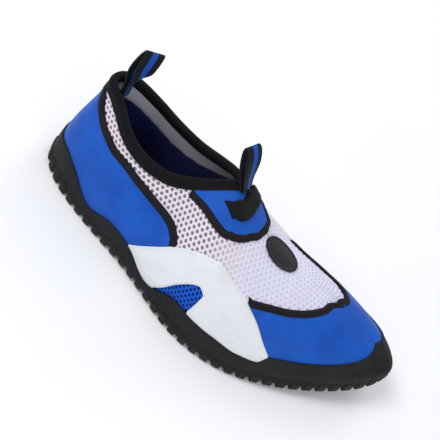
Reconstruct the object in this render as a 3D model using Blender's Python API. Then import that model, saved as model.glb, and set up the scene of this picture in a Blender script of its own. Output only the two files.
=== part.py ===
"""Slip-on water shoe for the right foot, as solids.  +X to the toe, +Y to the wearer's left, +Z up."""
import bpy
import bmesh
from math import pi, sin, cos
from mathutils import Vector
from mathutils.bvhtree import BVHTree

# Main sizes, in metres.
LENGTH = 0.290           # outsole, heel to toe
BALL_WIDTH = 0.110       # outsole across the ball
HEEL_HEIGHT = 0.092      # edge of the collar at the heel, above the floor
INSTEP_HEIGHT = 0.093    # edge of the collar at the throat, above the floor
TOE_SPRING = 0.018       # rise of the tread at the toe
HEEL_BEVEL = 0.003       # rise of the tread at the very back
ARCH_RISE = 0.0012       # rise of the tread under the waist
SOLE_FLOOR = 0.0085      # tread face to the inner floor of the sole
LUG_DEPTH = 0.0026       # depth of the tread
SIDE_HEIGHT = 0.030      # reference height of the rubber side wall
BUMPER_STEP = 0.0055     # step of the side wall up to the toe bumper
SOLE_WALL = 0.0024       # thickness of the rubber side wall at its top
UPPER_WALL = 0.0020      # thickness of the upper
GAP = 0.0003             # between neighbouring pieces
PANEL = 0.0009           # thickness of the sewn panels
TRIM = 0.0015            # thickness of the sewn trims
TRIM_WIDTH = 0.0060
BINDING = 0.0012         # thickness of the collar binding
BINDING_WIDTH = 0.0066
INSOLE = 0.0030
WEB_WIDTH = 0.0125       # webbing of the two pull loops
FRONT_TWIST = 0.35       # turn of the loop on the tongue, in radians
HEEL_TWIST = 0.95        # turn of the loop on the heel
WEB_THICK = 0.0014
FRONT_LOOP = 0.031       # length of the loop on the tongue
HEEL_LOOP = 0.038        # length of the loop on the heel
HEEL_REACH = 0.0055      # forward lean of its top
HEEL_CLEAR = 0.0054      # from its flat foot to the round of the collar
PATCH = 0.0024           # thickness of the cover over the foot of the tongue loop
BADGE_LENGTH = 0.030
BADGE_WIDTH = 0.0185
BADGE_THICK = 0.0018
LUG_PITCH = 0.0098       # round the edge of the tread
LUG_LENGTH = 0.0060
BLOCK_PITCH = 0.0175     # between the blocks inside the tread
BLOCK_SIZE = 0.0112
EDGE_CLEAR = 0.0088      # least distance of those blocks from the edge of the tread
HEEL_SPOT = 0.135        # share of the length where the heel stands: the origin

TOE = 16                 # last station of the ring tables, at the toe
THROAT = 9               # station at the front end of the collar opening

# Edge of the tread: lateral x, lateral y, medial x, medial y.  x as shares of LENGTH, y of BALL_WIDTH.
EDGE = (
    (0.007, -0.008, 0.007, -0.008),
    (0.022, -0.136, 0.021, 0.118),
    (0.062, -0.224, 0.059, 0.210),
    (0.117, -0.288, 0.114, 0.275),
    (0.180, -0.334, 0.176, 0.308),
    (0.252, -0.374, 0.248, 0.310),
    (0.328, -0.418, 0.324, 0.298),
    (0.403, -0.476, 0.400, 0.295),
    (0.480, -0.540, 0.480, 0.315),
    (0.556, -0.572, 0.562, 0.362),
    (0.631, -0.560, 0.645, 0.415),
    (0.707, -0.505, 0.728, 0.438),
    (0.783, -0.412, 0.805, 0.440),
    (0.855, -0.298, 0.878, 0.405),
    (0.921, -0.170, 0.944, 0.352),
    (0.976, -0.032, 0.990, 0.262),
    (1.009, 0.122, 1.009, 0.122),
)
# Height of the rubber side wall above the tread: lateral, medial, as shares of SIDE_HEIGHT.
SIDE = (
    (0.86, 0.86), (0.93, 0.93), (1.00, 0.97), (0.82, 0.84), (0.45, 0.62), (0.68, 0.66), (0.60, 0.58),
    (0.30, 0.52), (0.80, 0.52), (0.85, 0.64), (0.80, 0.82), (0.73, 0.84), (0.75, 0.83), (0.73, 0.76),
    (0.69, 0.65), (0.64, 0.60), (0.59, 0.59),
)
BUMPER_AT = (11.45, 13.15)   # station of the bumper's step: lateral, medial
BUMPER_RUN = 0.30            # stations that the step takes
# Edge of the collar, heel to throat: x of LENGTH, half width of BALL_WIDTH, height of HEEL_HEIGHT.
COLLAR = (
    (0.058, 0.000, 0.995), (0.067, 0.066, 1.000), (0.090, 0.104, 0.988), (0.124, 0.146, 0.938),
    (0.172, 0.194, 0.857), (0.231, 0.209, 0.802), (0.297, 0.190, 0.808), (0.355, 0.134, 0.891),
    (0.400, 0.068, 0.973), (0.428, 0.000, 1.005),
)
COLLAR_MIDDLE = 0.020    # sideways place of the collar's middle, share of BALL_WIDTH
# Ridge of the vamp, throat to toe: x of LENGTH, y of BALL_WIDTH, height of INSTEP_HEIGHT.
RIDGE = (
    (0.428, 0.020, 0.994), (0.490, 0.014, 0.860), (0.552, 0.014, 0.757), (0.617, 0.022, 0.692),
    (0.683, 0.045, 0.650), (0.748, 0.075, 0.607), (0.810, 0.105, 0.558), (0.862, 0.125, 0.510),
    (0.905, 0.136, 0.466),
)
# Shape of the wall of the upper: bulge of BALL_WIDTH, rise, crown, drop (shares of its height or
# width), and the share of bulge and crown kept on the medial side.
SHAPE = (
    (0.030, 0.40, 0.08, 0.35, 1.00), (0.030, 0.40, 0.08, 0.35, 1.00), (0.028, 0.40, 0.10, 0.35, 1.00),
    (0.025, 0.40, 0.12, 0.32, 1.00), (0.022, 0.40, 0.15, 0.30, 1.00), (0.022, 0.40, 0.20, 0.28, 1.00),
    (0.028, 0.42, 0.25, 0.25, 1.00), (0.036, 0.45, 0.30, 0.20, 0.92), (0.044, 0.48, 0.38, 0.10, 0.76),
    (0.050, 0.50, 0.46, 0.01, 0.60), (0.050, 0.50, 0.50, 0.00, 0.62), (0.048, 0.50, 0.52, 0.00, 0.80),
    (0.045, 0.50, 0.54, 0.00, 0.94), (0.042, 0.50, 0.55, 0.00, 1.00), (0.038, 0.52, 0.55, 0.00, 1.00),
    (0.034, 0.55, 0.55, 0.00, 1.00), (0.032, 0.60, 0.55, 0.00, 1.00),
)

# Seams and outlines on the chart of the upper: station, share below the collar or ridge (0) to the
# lower edge (1).  A share of 9 stands for the top of the rubber wall.
LIP = 9.0
HEEL_TRIM_LINE = (
    (0.00, 0.121), (0.55, 0.122), (1.00, 0.136), (1.50, 0.196), (2.20, 0.255), (2.85, 0.290),
    (3.70, 0.288), (4.60, 0.256), (5.30, 0.290), (6.00, 0.352), (6.65, 0.430), (7.06, 0.520),
)
TOE_TRIM = {-1: ((10.58, 0.478), (11.21, 0.432), (11.90, 0.388), (12.65, 0.326), (13.50, 0.217), (14.06, 0.108),
                 (14.49, 0.000)),
            1: ((10.60, 0.468), (11.30, 0.456), (12.05, 0.438), (12.85, 0.396), (13.45, 0.308), (14.02, 0.190),
                (14.28, 0.100), (14.49, 0.000))}
TONGUE_TRIM = {-1: ((7.02, 0.158), (7.65, 0.240), (8.28, 0.306), (8.90, 0.322), (9.52, 0.246), (10.08, 0.148),
                    (10.36, 0.105), (10.55, 0.052), (10.63, 0.000)),
               1: ((7.05, 0.165), (7.70, 0.250), (8.40, 0.318), (9.12, 0.315), (9.60, 0.250), (9.93, 0.204),
                   (10.27, 0.148), (10.50, 0.078), (10.63, 0.000))}
# Cover over the foot of the tongue loop: its rear and its front edge.
PATCH_REAR = (
    (8.22, -0.150), (8.75, -0.130), (9.16, -0.090), (9.28, 0.000), (9.18, 0.085), (8.98, 0.142), (8.68, 0.205),
)
PATCH_FRONT = (
    (8.86, -0.238), (9.30, -0.190), (9.70, -0.110), (9.88, 0.000), (9.78, 0.095), (9.48, 0.185), (9.12, 0.262),
)
LOOP_FOOT = (9.06, -0.038)   # chart place of the tongue loop's foot
# Side overlay, from its rear corner on the rubber: rear edge, soft upper edge, front edge.
OVERLAY_REAR = ((5.88, LIP), (6.50, 0.713), (7.15, 0.590))
OVERLAY_TOP = {-1: ((7.15, 0.590), (7.53, 0.549), (7.87, 0.522), (8.43, 0.490), (9.45, 0.462), (10.38, 0.482)),
               1: ((7.15, 0.590), (7.53, 0.549), (7.95, 0.513), (8.60, 0.484), (9.45, 0.462), (10.38, 0.472))}
OVERLAY_FRONT = {-1: ((10.38, 0.482), (10.90, 0.556), (11.30, 0.672), (11.58, LIP)),
                 1: ((10.38, 0.472), (10.95, 0.530), (11.48, 0.635), (11.78, LIP))}
# Window of dark mesh in the overlay: its upper edge, and its front edge from the rubber up.
WINDOW_TOP = {-1: ((7.33, LIP), (7.55, 0.885), (7.83, 0.790), (8.12, 0.725), (8.40, 0.682), (8.64, 0.664),
                   (8.86, 0.690)),
              1: ((7.10, LIP), (7.40, 0.845), (7.72, 0.760), (8.05, 0.700), (8.35, 0.672), (8.60, 0.668),
                  (8.80, 0.700))}
WINDOW_FRONT = {-1: ((8.62, LIP), (8.86, 0.690)), 1: ((8.60, LIP), (8.80, 0.700))}
RIDGE_SKEW = 1.12        # seams cross the ridge a little aslant
SEAM_LIFT = 0.0006       # of the panels' lower edges above the rubber
PANEL_GAP = 0.0006       # between the upper and the panels on it


def blend(rows, position, closed=False):
    """Smooth curve through the rows of a table, at a position counted in rows."""
    count = len(rows)
    if closed:
        start = int(position // 1)
        pick = [rows[(start + i) % count] for i in (-1, 0, 1, 2)]
    else:
        position = min(max(position, 0.0), count - 1.0)
        start = min(int(position), count - 2)
        pick = [rows[min(max(start + i, 0), count - 1)] for i in (-1, 0, 1, 2)]
        if start == 0:
            pick[0] = tuple(2 * a - b for a, b in zip(rows[0], rows[1]))
        if start == count - 2:
            pick[3] = tuple(2 * a - b for a, b in zip(rows[-1], rows[-2]))
    f = position - start
    g = (-f + 2 * f * f - f ** 3, 2 - 5 * f * f + 3 * f ** 3, f + 4 * f * f - 3 * f ** 3, f ** 3 - f * f)
    return tuple(0.5 * sum(w * row[c] for w, row in zip(g, pick)) for c in range(len(pick[0])))


EDGE_RING = [(row[0], row[1]) for row in EDGE] + [(row[2], row[3]) for row in EDGE[TOE - 1:0:-1]]
COLLAR_RING = [(x, -y, z) for x, y, z in COLLAR] + [(x, y, z) for x, y, z in COLLAR[THROAT - 1:0:-1]]


def ease(value):
    value = min(max(value, 0.0), 1.0)
    return value * value * (3 - 2 * value)


def tread_height(x):
    """Height of the tread above the floor at a distance from the back of the heel."""
    share = x / LENGTH
    toe = TOE_SPRING * max(0.0, (share - 0.67) / 0.33) ** 2
    heel = HEEL_BEVEL * max(0.0, (0.07 - share) / 0.07) ** 2
    arch = ARCH_RISE * ease((share - 0.24) / 0.10) * ease((0.52 - share) / 0.10)
    return toe + heel + arch


def edge_point(k, side, out=0.0):
    """Edge of the tread, moved outward by a distance; side is -1 lateral, 1 medial."""
    r = k if side < 0 else 2 * TOE - k
    x, y = blend(EDGE_RING, r, True)
    xa, ya = blend(EDGE_RING, r - 0.05, True)
    xb, yb = blend(EDGE_RING, r + 0.05, True)
    along = Vector(((xb - xa) * LENGTH, (yb - ya) * BALL_WIDTH)).normalized()
    return Vector((x * LENGTH + along.y * out, y * BALL_WIDTH - along.x * out, 0.0)), \
        Vector((along.y, -along.x, 0.0))


def top_point(k, side):
    """Edge of the collar behind the throat, ridge of the vamp in front of it."""
    if k <= THROAT:
        x, y, z = blend(COLLAR_RING, k if side < 0 else 2 * THROAT - k, True)
        middle = COLLAR_MIDDLE * ease(x / COLLAR[3][0])
        return Vector((x * LENGTH, (y + middle) * BALL_WIDTH, z * HEEL_HEIGHT))
    x, y, z = blend(RIDGE, k - THROAT)
    lift = z * INSTEP_HEIGHT
    return Vector((x * LENGTH, y * BALL_WIDTH, lift))


def ridge_slope(k):
    """Run of the ridge per unit forward, so that both sides meet along it without a crease."""
    at = min(max(k, THROAT + 0.02), TOE - 0.02)
    run = top_point(at + 0.02, 1) - top_point(at - 0.02, 1)
    return run / run.x


def wall_point(k, side, t):
    """Outer face of the upper: t = 0 at its lower edge, 1 at the collar or the ridge."""
    inset = -(SOLE_WALL + GAP + 0.0018)
    low, out = edge_point(k, side, inset)
    low.z = tread_height(low.x) + SOLE_FLOOR + GAP
    top = top_point(k, side)
    bulge, rise, crown, drop, medial = blend(SHAPE, k)
    if side > 0:
        bulge, crown = bulge * medial, crown * medial
    height = top.z - low.z
    across = Vector((low.x - top.x, low.y - top.y, 0.0))
    ridge = ridge_slope(k)
    follow = ease((k - 7.0) / 2.0)
    across.z = across.x * ridge.z * follow
    first = low + out * bulge * BALL_WIDTH + Vector((0, 0, rise * height))
    second = top + across * crown - Vector((0, 0, drop * height))
    s = 1 - t
    return low * s ** 3 + first * (3 * s * s * t) + second * (3 * s * t * t) + top * t ** 3


def settle(k, w):
    """Chart place inside the table: k runs heel to toe, w lateral edge (-1), ridge (0), medial edge (1)."""
    if k < 0:
        k, w = -k, -w
    if k > TOE:
        k, w = 2 * TOE - k, -w
    return k, w


def side_normal(k, side, t):
    a, b = max(k - 0.03, 0.0), min(k + 0.03, float(TOE))
    c, d = max(t - 0.015, 0.0), min(t + 0.015, 1.0)
    along = wall_point(b, side, t) - wall_point(a, side, t)
    up = wall_point(k, side, d) - wall_point(k, side, c)
    normal = along.cross(up) if side < 0 else up.cross(along)
    return normal.normalized()


def normal_at(k, w):
    k, w = settle(k, w)
    side, t = (-1 if w < 0 else 1), 1 - abs(w)
    normal = side_normal(k, side, t)
    if k < 1e-6 or k > TOE - 1e-6 or (abs(w) < 1e-6 and k > THROAT - 1e-6):
        normal = (normal + side_normal(k, -side, t)).normalized()
    return normal


def place(k, w, off=0.0):
    """Point at a chart place, off the outer face of the upper by a distance."""
    n = normal_at(k, w) if off else None
    k, w = settle(k, w)
    point = wall_point(k, -1 if w < 0 else 1, 1 - abs(w))
    return point + n * off if off else point


def chart_key(k, w):
    k, w = settle(k, w)
    side = -1 if w < 0 else 1
    if k < 1e-6 or k > TOE - 1e-6:
        return round(k, 5), round(-abs(w), 5), 0
    if abs(w) < 1e-6 and k > THROAT - 1e-6:
        return round(k, 5), 0.0, 0
    return round(k, 5), round(w, 5), side


def side_height(k, side):
    share = blend(SIDE, k)[0 if side < 0 else 1]
    step = ease((k - BUMPER_AT[0 if side < 0 else 1]) / BUMPER_RUN + 0.5)
    return share * SIDE_HEIGHT + BUMPER_STEP * step


def t_at_height(k, side, z):
    a, b = 0.0, 1.0
    for _ in range(26):
        m = (a + b) / 2
        if wall_point(k, side, m).z < z:
            a = m
        else:
            b = m
    return a


def wall_top_t(k, side, extra=0.0):
    """Chart share t of the top of the rubber wall, at a ring station."""
    edge, _ = edge_point(k, side)
    return t_at_height(k, side, tread_height(edge.x) + side_height(k, side) + extra)


def new_material(name, colour, roughness):
    material = bpy.data.materials.new(name)
    material.use_nodes = True
    shader = material.node_tree.nodes["Principled BSDF"]
    shader.inputs["Base Color"].default_value = colour
    shader.inputs["Roughness"].default_value = roughness
    material.diffuse_color = colour
    return material


def shift(point):
    return Vector((point.x - HEEL_SPOT * LENGTH, point.y, point.z))


def make_object(name, bm, material):
    bmesh.ops.remove_doubles(bm, verts=bm.verts, dist=0.000002)
    bmesh.ops.triangulate(bm, faces=bm.faces, quad_method="SHORT_EDGE")
    bmesh.ops.recalc_face_normals(bm, faces=bm.faces)
    if bm.calc_volume(signed=True) < 0:
        bmesh.ops.reverse_faces(bm, faces=bm.faces)
    mesh = bpy.data.meshes.new(name)
    bm.to_mesh(mesh)
    bm.free()
    obj = bpy.data.objects.new(name, mesh)
    mesh.materials.append(material)
    SHOE.objects.link(obj)
    return obj


def patch_solid(name, quads, low, high, material):
    """Solid of even thickness over chart quads, from one distance off the upper to another."""
    bm = bmesh.new()
    keys, faces, edges = {}, [], {}
    for quad in quads:
        ring = []
        for k, w in quad:
            key = chart_key(k, w)
            if key not in keys:
                keys[key] = (bm.verts.new(shift(place(k, w, high))), bm.verts.new(shift(place(k, w, low))))
            if not ring or keys[key] is not ring[-1]:
                ring.append(keys[key])
        if len(ring) > 1 and ring[0] is ring[-1]:
            ring.pop()
        if len(ring) < 3:
            continue
        faces.append(ring)
        for a, b in zip(ring, ring[1:] + ring[:1]):
            edges.setdefault(frozenset((id(a), id(b))), []).append((a, b))
    for ring in faces:
        bm.faces.new([pair[0] for pair in ring])
        bm.faces.new([pair[1] for pair in reversed(ring)])
    for used in edges.values():
        if len(used) == 1:
            a, b = used[0]
            bm.faces.new((a[0], a[1], b[1], b[0]))
    return make_object(name, bm, material)


def loft(curve_a, curve_b, rows):
    """Chart quads between two chart curves with as many places each."""
    quads = []
    for i in range(len(curve_a) - 1):
        for j in range(rows):
            f, g = j / rows, (j + 1) / rows
            corner = []
            for n, h in ((i, f), (i + 1, f), (i + 1, g), (i, g)):
                a, b = curve_a[n], curve_b[n]
                corner.append((a[0] + (b[0] - a[0]) * h, a[1] + (b[1] - a[1]) * h))
            quads.append(corner)
    return quads


def side_stations():
    """Ring stations of the grids: even ones, and one each side of the bumper's steps."""
    steps = [at + sign * BUMPER_RUN / 2 for at in BUMPER_AT for sign in (-1, 1)]
    even = [i * STEP for i in range(int(TOE / STEP) + 1)] + [THROAT - STEP / 2]
    return sorted(steps + [k for k in even if min(abs(k - step) for step in steps) > 0.12])


STEP = 0.5
LOW_ROWS, HIGH_ROWS = 2, 7
STATIONS = side_stations()
LIP_T = {(k, side): wall_top_t(k, side) for k in STATIONS for side in (-1, 1)}


def lip_share(k, side, lift=0.0):
    """Chart share (1 = lower edge) of the top of the rubber between the grid's stations."""
    for a, b in zip(STATIONS, STATIONS[1:]):
        if a <= k <= b:
            f = (k - a) / (b - a)
            t = LIP_T[(a, side)] * (1 - f) + LIP_T[(b, side)] * f
            speed = (wall_point(k, side, min(t + 0.01, 1.0)) - wall_point(k, side, t)).length / 0.01
            return 1 - t - lift / speed
    return 1.0


def upper_rows(k, side):
    """Chart shares t of the upper's grid: its lower rows end at the top of the rubber wall."""
    t = LIP_T[(k, side)]
    rows = [t * i / LOW_ROWS for i in range(LOW_ROWS)]
    return rows + [t + (1 - t) * i / HIGH_ROWS for i in range(HIGH_ROWS + 1)]


# Stations where seams have corners or turn fast, on each side.
HEEL_END, TOE_TRIM_START, TONGUE_REAR = 7.04, 10.44, 9.44
CORNERS = {-1: (5.88, HEEL_END, 7.33, 7.80, 8.22, 8.62, 8.74, 8.86, 9.26, TONGUE_REAR, 10.25, 10.42, 10.53, 11.25, 11.58,
                13.75, 14.05, 14.22, 14.33),
           1: (5.88, HEEL_END, 7.10, 7.40, 8.05, 8.60, 8.70, 8.80, 9.26, TONGUE_REAR, 10.25, 10.42, 10.53, 11.30, 11.78,
               13.75, 14.05, 14.22, 14.33)}


def build_upper(material):
    quads = []
    for side in (-1, 1):
        for a, b in zip(STATIONS, STATIONS[1:]):
            ra, rb = upper_rows(a, side), upper_rows(b, side)
            for j in range(len(ra) - 1):
                spot = [(a, ra[j]), (b, rb[j]), (b, rb[j + 1]), (a, ra[j + 1])]
                quads.append([(k, side * max(1 - t, 1e-9)) for k, t in spot])
    return patch_solid("upper", quads, -UPPER_WALL, 0.0, material)


def ring_places():
    """Stations once round the shoe: lateral side to the toe, then back along the medial side."""
    return [(k, -1) for k in STATIONS[:-1]] + [(k, 1) for k in reversed(STATIONS[1:])]


def sole_section(k, side):
    """Outline of the rubber at a station, from the tread up the outside and down the inside."""
    edge, out = edge_point(k, side)
    base = tread_height(edge.x)
    body = base + LUG_DEPTH
    t_top = LIP_T[(k, side)]
    w = side * (1 - t_top)
    rim = place(k, side * (1 - t_top * 0.94), GAP + SOLE_WALL)
    foot = edge - out * 0.0004 + Vector((0, 0, body + 0.0020))
    middle = foot * 0.45 + rim * 0.55 + out * 0.0006
    least = place(k, side * (1 - t_top * 0.5), GAP + SOLE_WALL)
    normal = normal_at(k, side * (1 - t_top * 0.5))
    level = Vector((normal.x, normal.y, 0.0))
    middle += level * (max(0.0, (least - middle).dot(normal)) / level.length_squared)
    points = [edge - out * 0.0022 + Vector((0, 0, body)), foot, middle, rim, place(k, w, GAP + SOLE_WALL * 0.72)]
    for i in range(LOW_ROWS, -1, -1):
        points.append(place(k, side * (1 - t_top * i / LOW_ROWS), GAP))
    points[-1].z = tread_height(points[-1].x) + SOLE_FLOOR
    return points


def ring_solid(name, sections, levels, material):
    """Solid from ring sections, closed across the shoe at the first and last point of each section."""
    bm = bmesh.new()
    made = {spot: [bm.verts.new(shift(p)) for p in points] for spot, points in sections.items()}
    first, last = STATIONS[0], STATIONS[-1]
    made[(first, 1)], made[(last, -1)] = made[(first, -1)], made[(last, 1)]
    for side in (-1, 1):
        for a, b in zip(STATIONS, STATIONS[1:]):
            one, two = made[(a, side)], made[(b, side)]
            for j in range(len(one) - 1):
                bm.faces.new((one[j], two[j], two[j + 1], one[j + 1]))
    for level, height in levels:
        middles = {first: made[(first, -1)][level], last: made[(last, -1)][level]}
        for k in STATIONS[1:-1]:
            a, b = made[(k, -1)][level], made[(k, 1)][level]
            middles[k] = bm.verts.new((a.co + b.co) / 2)
            middles[k].co.z = tread_height(middles[k].co.x + HEEL_SPOT * LENGTH) + height
        for side in (-1, 1):
            for a, b in zip(STATIONS, STATIONS[1:]):
                ring = [made[(a, side)][level], made[(b, side)][level], middles[b], middles[a]]
                bm.faces.new([v for i, v in enumerate(ring) if v not in ring[:i]])
    return make_object(name, bm, material)


def prism(bm, profile, origin, along, out, half, taper=0.0):
    """Closed prism: a profile of (outward, height) places, drawn out along the edge both ways."""
    ends = []
    for sign in (-1, 1):
        ends.append([bm.verts.new(shift(origin + along * (sign * (half + taper * a)) + out * a + Vector((0, 0, z))))
                     for a, z in profile])
    bm.faces.new(ends[0])
    bm.faces.new(list(reversed(ends[1])))
    for i in range(len(profile)):
        j = (i + 1) % len(profile)
        bm.faces.new((ends[0][i], ends[1][i], ends[1][j], ends[0][j]))


def ring_spot(r):
    """Station and side for a place counted once round the shoe."""
    return (r, -1) if r <= TOE else (2 * TOE - r, 1)


def edge_lugs(bm):
    """Lugs round the edge of the tread; each one runs a little way up the side as a rib."""
    spots, length, last = [], [0.0], None
    count = 640
    for i in range(count + 1):
        point, out = edge_point(*ring_spot(2.0 * TOE * i / count))
        if last is not None:
            length.append(length[-1] + (point - last).length)
        last = point
        spots.append((point, out))
    lugs = int(round(length[-1] / LUG_PITCH))
    for n in range(lugs):
        goal = (n + 0.5) * length[-1] / lugs
        i = next(i for i in range(count + 1) if length[i] >= goal)
        point, out = spots[i]
        base = tread_height(point.x)
        rib = LUG_DEPTH + 0.26 * side_height(*ring_spot(i * 2.0 * TOE / count))
        profile = ((-0.0070, base), (0.0002, base), (0.0009, base + 0.0022), (0.0008, base + rib),
                   (-0.0014, base + rib + 0.0022), (-0.0070, base + LUG_DEPTH + 0.0008))
        prism(bm, profile, point, Vector((-out.y, out.x, 0)), out, LUG_LENGTH / 2, 0.15)


def inside_ring(spot, ring):
    """Whether a place lies inside a closed outline on the floor."""
    crossed = False
    for a, b in zip(ring, ring[1:] + ring[:1]):
        if (a.y > spot.y) != (b.y > spot.y) and spot.x < a.x + (b.x - a.x) * (spot.y - a.y) / (b.y - a.y):
            crossed = not crossed
    return crossed


def inner_blocks(bm):
    """Blocks of the tread inside the ring of edge lugs, in staggered rows; one stands at the heel spot."""
    ring = [edge_point(*ring_spot(2.0 * TOE * i / 200))[0] for i in range(200)]
    half = BLOCK_SIZE / 2
    for i in range(-2, int(LENGTH / BLOCK_PITCH)):
        for j in range(-4, 5):
            x, y = LENGTH * HEEL_SPOT + i * BLOCK_PITCH, (j + 0.5 * (i % 2)) * BLOCK_PITCH
            corners = [Vector((x + a * half, y + b * half, 0)) for a in (-1, 1) for b in (-1, 1)]
            if not all(inside_ring(c, ring) for c in corners) or \
                    min((p - c).length for p in ring for c in corners) < EDGE_CLEAR:
                continue
            base = tread_height(x)
            profile = ((-half, base), (half, base), (half, base + LUG_DEPTH + 0.001),
                       (-half, base + LUG_DEPTH + 0.001))
            prism(bm, profile, Vector((x, y, 0)), Vector((0, 1, 0)), Vector((1, 0, 0)), half)


def build_sole(material):
    sections = {spot: sole_section(*spot) for spot in ring_places()}
    sole = ring_solid("outsole", sections, ((0, LUG_DEPTH), (-1, SOLE_FLOOR)), material)
    bm = bmesh.new()
    edge_lugs(bm)
    inner_blocks(bm)
    lugs = make_object("tread_lugs", bm, material)
    SHOE.objects.unlink(lugs)
    TOOLS.objects.link(lugs)
    lugs.hide_render = True
    lugs.display_type = "WIRE"
    union = sole.modifiers.new("lugs", "BOOLEAN")
    union.operation, union.solver, union.object = "UNION", "EXACT", lugs
    bpy.context.view_layer.update()
    mesh = bpy.data.meshes.new_from_object(sole.evaluated_get(bpy.context.evaluated_depsgraph_get()))
    mesh.name = "outsole"
    sole.modifiers.clear()
    sole.data = mesh
    return sole


def build_insole(material):
    sections = {}
    for k, side in ring_places():
        inward = -(UPPER_WALL + GAP * 2 + 0.0015 * ease(k - TOE + 1.5))
        foot = place(k, side, inward)
        low = tread_height(foot.x) + SOLE_FLOOR + GAP
        wall = place(k, side * (1 - t_at_height(k, side, low + INSOLE)), inward)
        wall = place(k, side * (1 - t_at_height(k, side, 2 * (low + INSOLE) - wall.z)), inward)
        sections[(k, side)] = [Vector((foot.x, foot.y, low)), Vector((wall.x, wall.y, low + INSOLE))]
    return ring_solid("insole", sections, ((0, SOLE_FLOOR + GAP), (-1, SOLE_FLOOR + GAP + INSOLE)), material)


def through(rows, parts):
    """Places along a smooth chart line through a table, evenly by row count, ends included."""
    return [blend(rows, (len(rows) - 1) * i / parts) for i in range(parts + 1)]


def on_side(rows, side, lift=GAP):
    """Table rows put on one side of the chart; the mark for the rubber's top becomes its share."""
    return [(k, side * (lip_share(k, side, lift) if w >= LIP else w)) for k, w in rows]


def frame_at(k, w):
    """Change of the point per station and per share, at a chart place."""
    h = 0.004
    side = -1 if w < 0 else 1
    dk = (place(k + 0.02, w) - place(k - 0.02, w)) / 0.04
    dw = (place(k, side * min(abs(w) + h, 1.0)) - place(k, side * max(abs(w) - h, 1e-9)))
    dw = dw / (min(abs(w) + h, 1.0) - max(abs(w) - h, 1e-9)) * side
    return dk, dw


def nudge(k, w, move):
    """Chart place reached by moving a small way along the surface."""
    goal = place(k, w) + move
    for _ in range(4):
        dk, dw = frame_at(k, w)
        rest = goal - place(k, w)
        aa, ab, bb = dk.dot(dk), dk.dot(dw), dw.dot(dw)
        ma, mb = dk.dot(rest), dw.dot(rest)
        det = aa * bb - ab * ab
        k, w = k + (ma * bb - mb * ab) / det, w + (mb * aa - ma * ab) / det
    return k, w


def beside(line, distance):
    """Chart line moved sideways over the surface; positive is to the left of its run, seen from outside."""
    moved = []
    for i, (k, w) in enumerate(line):
        a, b = line[max(i - 1, 0)], line[min(i + 1, len(line) - 1)]
        run = place(*b) - place(*a)
        left = normal_at(k, w).cross(run).normalized()
        moved.append(nudge(k, w, left * distance))
    return moved


def share_at(curve, k):
    """Share of a seam at a station; past its last place the seam has reached the ridge."""
    if k <= curve[0][0]:
        return curve[0][1]
    for a, b in zip(curve, curve[1:]):
        if k <= b[0]:
            return a[1] + (b[1] - a[1]) * (k - a[0]) / max(b[0] - a[0], 1e-9)
    return curve[-1][1]


def over_ridge(tables, move):
    """A seam that crosses the ridge, moved toward the heel by a distance, as one curve for each side."""
    lateral, medial = through(on_side(tables[-1], -1), 30), through(on_side(tables[1], 1), 30)
    moved = beside(lateral[:-1] + [(lateral[-1][0], -1e-7)] + medial[-2::-1], move)
    k = lateral[-1][0]
    speed = (place(k + 0.05, 1e-9) - place(k - 0.05, 1e-9)).length / 0.1
    cross = k - RIDGE_SKEW * move / speed
    return {side: sorted((k, abs(w)) for k, w in moved if w * side > 0.09 and k < cross) + [(cross, 0.0)]
            for side in (-1, 1)}


def seam(rows, side, move=0.0):
    """A seam on one side as a curve of (station, share), moved down the wall by a distance."""
    line = through(on_side(rows, side, SEAM_LIFT), 40)
    if move:
        line = beside(line, side * move)
    return sorted((k, abs(w)) for k, w in line)


def columns(side, start, end, more=()):
    """Stations of a panel's grid: those of the upper, and the corners of the seams."""
    corners = [c for c in CORNERS[side] if min([abs(c - m) for m in more] + [1.0]) > 0.03] + list(more)
    ks = [k for k in STATIONS if min(abs(k - c) for c in corners) > 0.09]
    return [start] + sorted(k for k in ks + corners if start + 0.03 < k < end - 0.015) + [end]


def strip(side, ks, upper, lower, rows):
    """Chart quads between two seams given as functions of the station."""
    quads = []
    for a, b in zip(ks, ks[1:]):
        for j in range(rows):
            f, g = j / rows, (j + 1) / rows
            quads.append([(k, side * max(upper(k) + (lower(k) - upper(k)) * h, 1e-9))
                          for k, h in ((a, f), (b, f), (b, g), (a, g))])
    return quads


def meeting(first, second, start, end):
    """Station between two where the first function stops being below the second."""
    for _ in range(40):
        middle = (start + end) / 2
        if first(middle) < second(middle):
            start = middle
        else:
            end = middle
    return start


def outline(side):
    """Upper edge of the side overlay: rear, top and front seams as one curve."""
    curve = seam(OVERLAY_REAR, side) + seam(OVERLAY_TOP[side], side)[1:] + seam(OVERLAY_FRONT[side], side)[1:]
    return sorted(curve)


def step_down(k, side, distance):
    """Share that a distance down the wall takes at a station."""
    at = share_speed(k, side)
    return distance / at


def share_speed(k, side):
    return (place(k, side * 0.5) - place(k, side * 0.48)).length / 0.02


def build_heel(panel_material, trim_material):
    quads, trims, start = [], [], None
    for side in (-1, 1):
        low, over = seam(HEEL_TRIM_LINE, side, TRIM_WIDTH / 2), seam(HEEL_TRIM_LINE, side, -TRIM_WIDTH / 2)
        start = start or (low[0][1], over[0][1])
        low[0], over[0] = (0.0, start[0]), (0.0, start[1])
        edge = outline(side)
        ks = columns(side, 0.0, HEEL_END)

        def lower(k):
            lip = lip_share(k, side, SEAM_LIFT)
            return lip if k < edge[0][0] - 0.04 else min(lip, share_at(edge, k + 0.03) - step_down(k, side, GAP))

        trims += strip(side, ks, lambda k: share_at(over, k), lambda k: share_at(low, k), 1)
        quads += strip(side, ks, lambda k: share_at(low, k) + step_down(k, side, GAP * 1.3), lower, 4)
    patch_solid("heel_quarter", quads, PANEL_GAP, PANEL_GAP + PANEL, panel_material)
    patch_solid("heel_trim", trims, PANEL_GAP, PANEL_GAP + TRIM, trim_material)


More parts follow.
